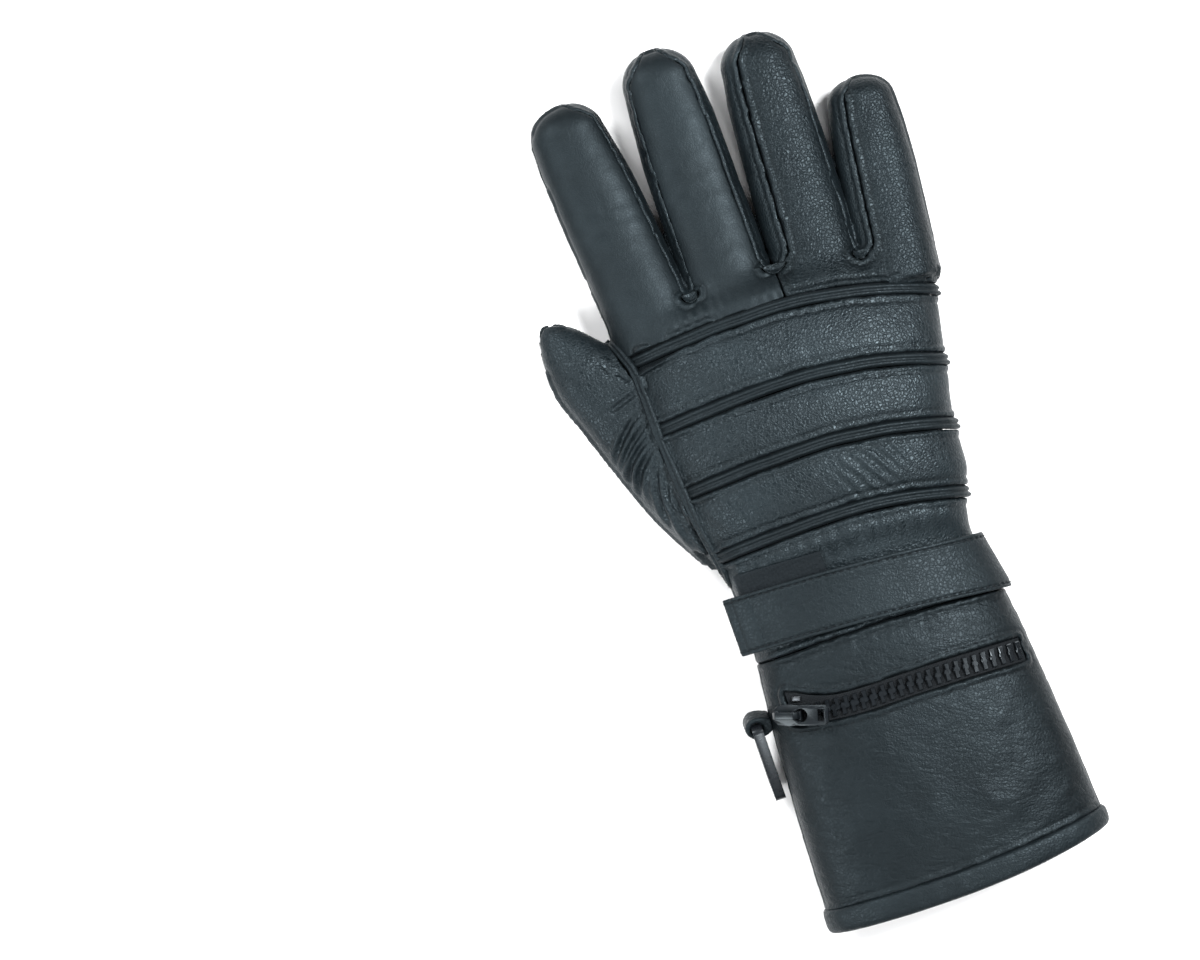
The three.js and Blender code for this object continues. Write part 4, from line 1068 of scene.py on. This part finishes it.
def makeStrap():
    around = np.linspace(0, 2 * math.pi, strap["sides"], endpoint=False)
    share = 0.5 * rounded(np.cos(around), 0.34)
    lift = strap["thickness"] / 2 * (1 + rounded(np.sin(around), 0.42))
    seam = np.abs(share) - (0.5 - strap["stitchInset"] / strap["width"])
    seam = np.exp(-(seam * strap["width"] / 0.45) ** 2) * (np.sin(around) > 0)
    lift = lift - 0.25 * seam
    reach = np.linspace(0, 2, strap["steps"])
    turns, shares = np.meshgrid(reach, share, indexing="ij")
    lifts = np.broadcast_to(lift, turns.shape).copy()
    flat = strapAt(turns, shares, strap["under"] + lifts)
    middle = flat.mean(axis=1)
    along = np.concatenate([[0], np.cumsum(np.linalg.norm(np.diff(middle, axis=0), axis=1))])
    holes = (0.5 + 0.5 * np.cos(2 * math.pi * along / stitchPitch))[:, None] * seam
    toEnd, endDepth = strap["endGroove"]
    endLine = np.exp(-((along[-1] - along - toEnd) / 0.8) ** 2)[:, None] * (np.sin(around) > 0)
    lifts -= strap["hole"] * holes + endDepth * endLine
    soft = lump((flat * [1, 0.7, 1]).reshape(-1, 3), 15.0, 51).reshape(turns.shape)
    fine = lump(flat.reshape(-1, 3), 4.0, 52).reshape(turns.shape)
    top = np.sin(around)[None, :] > -0.2
    lifts += np.where(top, 0.28 * soft + 0.06 * fine, 0)
    narrow = 1 - 0.012 * (1 + soft)
    ends = np.clip(np.minimum(turns / 0.02, (2 - turns) / 0.05), 0, 1) ** 0.4
    lifts = strap["thickness"] / 2 + (lifts - strap["thickness"] / 2) * (0.25 + 0.75 * ends)
    rings = strapAt(turns, shares * narrow * (0.965 + 0.035 * ends), strap["under"] + lifts)
    mesh = lofted("wrist_strap_leather", rings)
    # painted shade: darker along the stitch lines, in the stitch holes, in the groove by the free
    # end and underneath
    dark = np.maximum(seam * 0.35 + holes * 0.6, 0.5 * endLine)
    dark = np.maximum(dark, np.where(np.sin(around) < 0.25, 0.7, 0))
    markSeamShade(mesh, [*dark.ravel(), 0, 0])
    finishPiece(mesh.name, mesh, trimLeather, ["wrist_strap"])


makeStrap()
print("strap done")


def sheetMesh(name, top, bottom):
    rows, columns = top.shape[:2]
    at = lambda i, j, side: side * rows * columns + i * columns + j
    faces = []
    for i in range(rows - 1):
        for j in range(columns - 1):
            faces.append((at(i, j, 0), at(i + 1, j, 0), at(i + 1, j + 1, 0), at(i, j + 1, 0)))
            faces.append((at(i, j, 1), at(i, j + 1, 1), at(i + 1, j + 1, 1), at(i + 1, j, 1)))
    rim = ([(i, 0) for i in range(rows)] + [(rows - 1, j) for j in range(1, columns)]
           + [(i, columns - 1) for i in range(rows - 2, -1, -1)]
           + [(0, j) for j in range(columns - 2, 0, -1)])
    for a, b in zip(rim, rim[1:] + rim[:1]):
        faces.append((at(*a, 0), at(*a, 1), at(*b, 1), at(*b, 0)))
    p = np.vstack([top.reshape(-1, 3), bottom.reshape(-1, 3)])
    mesh = bpy.data.meshes.new(name)
    mesh.from_pydata(((p - patternMiddle) / 1000).tolist(), [], faces)
    return facingOut(mesh)


# Loop pile that shows over the strap's upper edge.
patch = {"from": -39.0, "length": 34.0, "low": 0.2, "peek": 7.5, "seat": 0.6,
         "thickness": 0.75, "pile": 0.55, "columns": 120, "rows": 52}


def makePatch():
    x = patch["from"] + patch["length"] * np.linspace(0, 1, patch["columns"])
    share = np.linspace(patch["low"], 0.5 + patch["peek"] / strap["width"], patch["rows"])
    xs, shares = np.meshgrid(x, share, indexing="ij")
    ys = strapLine(xs, shares)
    seat = np.stack([xs, ys, topAt(xs, ys, patch["seat"])], axis=-1)
    flat = seat.reshape(-1, 3)
    pile = (0.6 * lump(flat, 0.9, 61) + 0.4 * lump(flat, 2.4, 62)).reshape(xs.shape)
    edge = np.minimum.outer(np.minimum(np.arange(len(x)), np.arange(len(x))[::-1]) / 3,
                            np.minimum(np.arange(len(share)), np.arange(len(share))[::-1]) / 3)
    rise = (patch["thickness"] * np.clip(edge + 0.3, 0, 1)
            + patch["pile"] * pile * np.clip(edge, 0, 1))
    top = seat + np.array([0, 0, 1]) * rise[:, :, None]
    mesh = sheetMesh("loop_patch_pile", top, seat)
    finishPiece(mesh.name, mesh, loopPile, ["loop_patch"])


makePatch()


# Zip.
zipper = {"place": -39, "ends": (-35.5, 55.0), "window": 9.4, "rise": 30, "flare": 4.5,
          "tapeTop": -0.8, "tapeThickness": 1.0, "teethEnds": (-29.5, 53.0), "pitch": 3.6}


def zipCentre(x):
    return (alongMm(zipper["place"]) + slantAt(zipper["place"], x)
            + np.where(x < 0, zipper["rise"] * (x / glove["palmWidth"]) ** 2, 0))


def flareAt(x):
    # how much the window widens on the thumb's side
    return zipper["flare"] * np.clip((-x / 100 - 0.15) / 0.18, 0, 1) ** 2


def zipPoint(x, away, offset):
    y = zipCentre(x) + away
    return np.stack([x, y, topAt(x, y, offset)], axis=-1)


def makeTape():
    x = np.linspace(zipper["ends"][0] + 0.2, zipper["ends"][1] - 0.2, 170)
    shares = np.linspace(-1, 1, 32)
    half = zipper["window"] / 2 - 0.25
    xs, share = np.meshgrid(x, shares, indexing="ij")
    away = share * np.where(share > 0, half + flareAt(xs), half)
    cords = 0.35 * np.exp(-((np.abs(away) - 2.6) / 0.7) ** 2)
    top = zipPoint(xs, away, zipper["tapeTop"] + cords)
    bottom = zipPoint(xs, away, zipper["tapeTop"] - zipper["tapeThickness"])
    mesh = sheetMesh("zip_tape_weave", top, bottom)
    finishPiece(mesh.name, mesh, tapeWeave, ["zip_tape"])


makeTape()


# Geometry Nodes: pieces in a row along a line.
def rowTree(name, material):
    tree = bpy.data.node_groups.new(name, "GeometryNodeTree")
    tree.is_modifier = True
    face = tree.interface
    face.new_socket("Line", in_out="INPUT", socket_type="NodeSocketGeometry")
    face.new_socket("Pitch", in_out="INPUT", socket_type="NodeSocketFloat")
    face.new_socket("Piece", in_out="INPUT", socket_type="NodeSocketObject")
    face.new_socket("Size Change", in_out="INPUT", socket_type="NodeSocketFloat")
    face.new_socket("Seed", in_out="INPUT", socket_type="NodeSocketInt")
    face.new_socket("Row", in_out="OUTPUT", socket_type="NodeSocketGeometry")
    start = tree.nodes.new("NodeGroupInput")
    end = tree.nodes.new("NodeGroupOutput")
    resample = tree.nodes.new("GeometryNodeResampleCurve")
    resample.mode = "LENGTH"
    tangent = tree.nodes.new("GeometryNodeInputTangent")
    turn = tree.nodes.new("FunctionNodeAlignEulerToVector")
    turn.axis = "X"
    info = tree.nodes.new("GeometryNodeObjectInfo")
    copies = tree.nodes.new("GeometryNodeInstanceOnPoints")
    vary = tree.nodes.new("FunctionNodeRandomValue")
    vary.data_type = "FLOAT"
    low = tree.nodes.new("ShaderNodeMath")
    low.operation = "SUBTRACT"
    low.inputs[0].default_value = 1
    real = tree.nodes.new("GeometryNodeRealizeInstances")
    paint = tree.nodes.new("GeometryNodeSetMaterial")
    paint.inputs["Material"].default_value = material
    link = tree.links.new
    link(start.outputs["Line"], resample.inputs["Curve"])
    link(start.outputs["Pitch"], resample.inputs["Length"])
    link(start.outputs["Piece"], info.inputs["Object"])
    link(start.outputs["Size Change"], low.inputs[1])
    link(start.outputs["Seed"], vary.inputs["Seed"])
    link(low.outputs[0], vary.inputs[2])
    vary.inputs[3].default_value = 1
    link(tangent.outputs["Tangent"], turn.inputs["Vector"])
    link(resample.outputs["Curve"], copies.inputs["Points"])
    link(info.outputs["Geometry"], copies.inputs["Instance"])
    link(turn.outputs["Rotation"], copies.inputs["Rotation"])
    link(vary.outputs[1], copies.inputs["Scale"])
    link(copies.outputs["Instances"], real.inputs["Geometry"])
    link(real.outputs["Geometry"], paint.inputs["Geometry"])
    link(paint.outputs["Geometry"], end.inputs["Row"])
    return tree


def rowMesh(name, lines, tree, piece, pitch, change, seed):
    curve = bpy.data.curves.new(name, "CURVE")
    curve.dimensions = "3D"
    for line in lines:
        spline = curve.splines.new("POLY")
        spline.points.add(len(line) - 1)
        p = (np.asarray(line) - patternMiddle) / 1000
        spline.points.foreach_set("co", np.column_stack([p, np.ones(len(p))]).ravel())
    host = linked(name, curve)
    modifier = host.modifiers.new("row", "NODES")
    modifier.node_group = tree
    sockets = {item.name: item.identifier for item in tree.interface.items_tree}
    for key, value in (("Pitch", pitch / 1000), ("Piece", piece), ("Size Change", change),
                       ("Seed", seed)):
        modifier[sockets[key]] = value
    mesh = appliedMesh(host)
    mesh.name = name
    return mesh


def templateObject(name, mesh):
    piece = linked(name, mesh)
    piece.hide_render = True
    return piece


tooth = {"height": 1.7, "chamfer": 0.34, "outline": [
    (-0.85, 3.4), (-0.8, 0.75), (-1.04, 0.25), (-1.04, -0.55), (-0.5, -1.25), (0.5, -1.25),
    (1.04, -0.55), (1.04, 0.25), (0.8, 0.75), (0.85, 3.4)]}


def makeTooth(way):
    outline = np.array(tooth["outline"]) * [1, way]
    if way < 0:
        outline = outline[::-1]
    middle = outline.mean(axis=0)
    inner = outline + (middle - outline) / np.linalg.norm(
        middle - outline, axis=1, keepdims=True) * tooth["chamfer"]
    levels = [(outline, 0.0), (outline, tooth["height"] - tooth["chamfer"]),
              (inner, tooth["height"])]
    p = [(*point, z) for ring, z in levels for point in ring]
    n = len(outline)
    faces = [(a + k, a + (k + 1) % n, a + n + (k + 1) % n, a + n + k)
             for a in (0, n) for k in range(n)]
    faces += [tuple(range(n)), tuple(range(2 * n, 3 * n))]
    mesh = bpy.data.meshes.new("tooth")
    mesh.from_pydata((np.array(p) / 1000).tolist(), [], faces)
    return facingOut(mesh)


teethTree = rowTree("teethRow", toothPlastic)


def makeTeeth():
    first, last = zipper["teethEnds"]
    for name, way, shift in (("upper", 1, 0.25), ("lower", -1, 0.75)):
        piece = templateObject("toothTemplate", makeTooth(way))
        x = np.linspace(first + shift * zipper["pitch"], last - 0.4, 400)
        line = zipPoint(x, 0 * x, zipper["tapeTop"] + 0.15)
        mesh = rowMesh(f"zip_teeth_{name}_row", [line], teethTree, piece, zipper["pitch"], 0, 1)
        bpy.data.objects.remove(piece)
        finishPiece(mesh.name, mesh, toothPlastic, [f"zip_teeth_{name}"],
                    smooth=False)


makeTeeth()
print("zip tape and teeth done")


# Stitches: a short bead along every seam that shows its thread.
stitches = {"length": 1.9, "thickness": 0.42, "sides": 6, "rings": 5, "pitch": stitchPitch,
            "change": 0.18, "sink": 0.06}


def makeStitch():
    around = np.linspace(0, 2 * math.pi, stitches["sides"], endpoint=False)
    ends = np.linspace(-0.96, 0.96, stitches["rings"])
    rings = []
    for place in ends:
        size = stitches["thickness"] / 2 * (1 - place ** 4) ** 0.5
        rings.append(np.column_stack([
            np.full(len(around), place * stitches["length"] / 2),
            size * np.cos(around), size * np.sin(around)]))
    mesh = lofted("stitch", np.array(rings) + patternMiddle)
    mesh.shade_smooth()
    return templateObject("stitchTemplate", mesh)


def besideLine(line, move):
    p = dense(line)
    way = np.gradient(p, axis=0)
    way = way / np.linalg.norm(way, axis=1, keepdims=True)
    return p + move * np.column_stack([-way[:, 1], way[:, 0]])


def surfacesOf(names):
    graph = bpy.context.evaluated_depsgraph_get()
    return [BVHTree.FromObject(bpy.data.objects[name], graph) for name in names]


def dropped(line, surfaces, way):
    kept = []
    for x, y in line:
        start = Vector(((x - patternMiddle[0]) / 1000, (y - patternMiddle[1]) / 1000, way * 0.09))
        hits = [tree.ray_cast(start, Vector((0, 0, -way)))[0] for tree in surfaces]
        heights = [hit.z * 1000 for hit in hits if hit is not None]
        if heights:
            z = (max(heights) if way > 0 else min(heights)) - way * stitches["sink"]
            kept.append((x, y, max(z, stitches["thickness"] / 2)))
    return kept


threadTree = rowTree("threadRow", threadFinish)
stitchPiece = makeStitch()


def sew(name, lines, seed):
    lines = [line for line in lines if len(line) > 3]
    mesh = rowMesh(name, lines, threadTree, stitchPiece, stitches["pitch"],
                   stitches["change"], seed)
    mesh.shade_smooth()
    finishPiece(name, mesh, threadFinish, [])


def makeStitches():
    reach = np.linspace(0.03, 1.96, 400)
    share = 0.5 - strap["stitchInset"] / strap["width"]
    top = strap["under"] + strap["thickness"] - 0.2
    sew("strap_stitches", [strapAt(reach, np.full_like(reach, side * share), top)
                           for side in (-1, 1)], 11)
    cuff = surfacesOf(["cuff_back_leather"])
    x = np.linspace(zipper["ends"][0] + 1, zipper["ends"][1] - 0.5, 300)
    half = zipper["window"] / 2 + 2.6
    sew("zip_stitches", [
        dropped(np.column_stack([x, zipCentre(x) + half + flareAt(x)]), cuff, 1),
        dropped(np.column_stack([x, zipCentre(x) - half]), cuff, 1)], 12)
    under = surfacesOf([f"{node}_leather" for node in palmNodes])
    lines = []
    for name, line in palmSeams.items():
        moves = (-2.4, 2.4) if name != "thumb" else (-2.4,)
        lines += [dropped(besideLine(line, move), under, -1) for move in moves]
    lines += [dropped(dense(line), under, -1) for line in crossLines]
    along = np.arange(gather["from"], gather["to"], 0.4)
    swing = np.abs((along / gather["period"]) % 1 * 2 - 1) * 2 - 1
    lines.append(dropped(np.column_stack([along, gather["along"] + gather["half"] * swing]),
                         under, -1))
    sew("palm_stitches", lines, 13)


makeStitches()
bpy.data.objects.remove(stitchPiece)
print("stitches done")


# Hard parts: the CAD solids with rounded edges.
def machined(node, material, width, body="glove", turnAngle=25):
    source = mergedCopy(node, flatAngle=1)
    bevel = source.modifiers.new("edges", "BEVEL")
    bevel.width = width / 1000
    bevel.segments = 3
    bevel.limit_method = "ANGLE"
    bevel.angle_limit = math.radians(turnAngle)
    fine = appliedMesh(source)
    fine.shade_smooth()
    fine.set_sharp_from_angle(angle=math.radians(40))
    finishPiece(f"{node}_part", fine, material, [node], body, smooth=False)


machined("zip_slider", blackMetal, 0.35)
machined("pull_tab", blackMetal, 0.22, "pull_tab")
machined("zip_top_stop", brightMetal, 0.3)
machined("clip_hook", mouldedPlastic, 0.55)


def softCopy(node, material, voxel, rounds):
    mesh = remeshed(node + "_leather", node, voxel)
    p = pointsOf(mesh)
    p = evened(p, edgesOf(mesh), np.ones(len(p)), rounds)
    p += normalsOf(mesh) * (0.25 + 0.12 * lump(p, 2.5, 71))[:, None]
    placePoints(mesh, p)
    finishPiece(mesh.name, mesh, material, [node])


softCopy("clip_loop", trimLeather, 0.0004, 6)
print("hardware done")
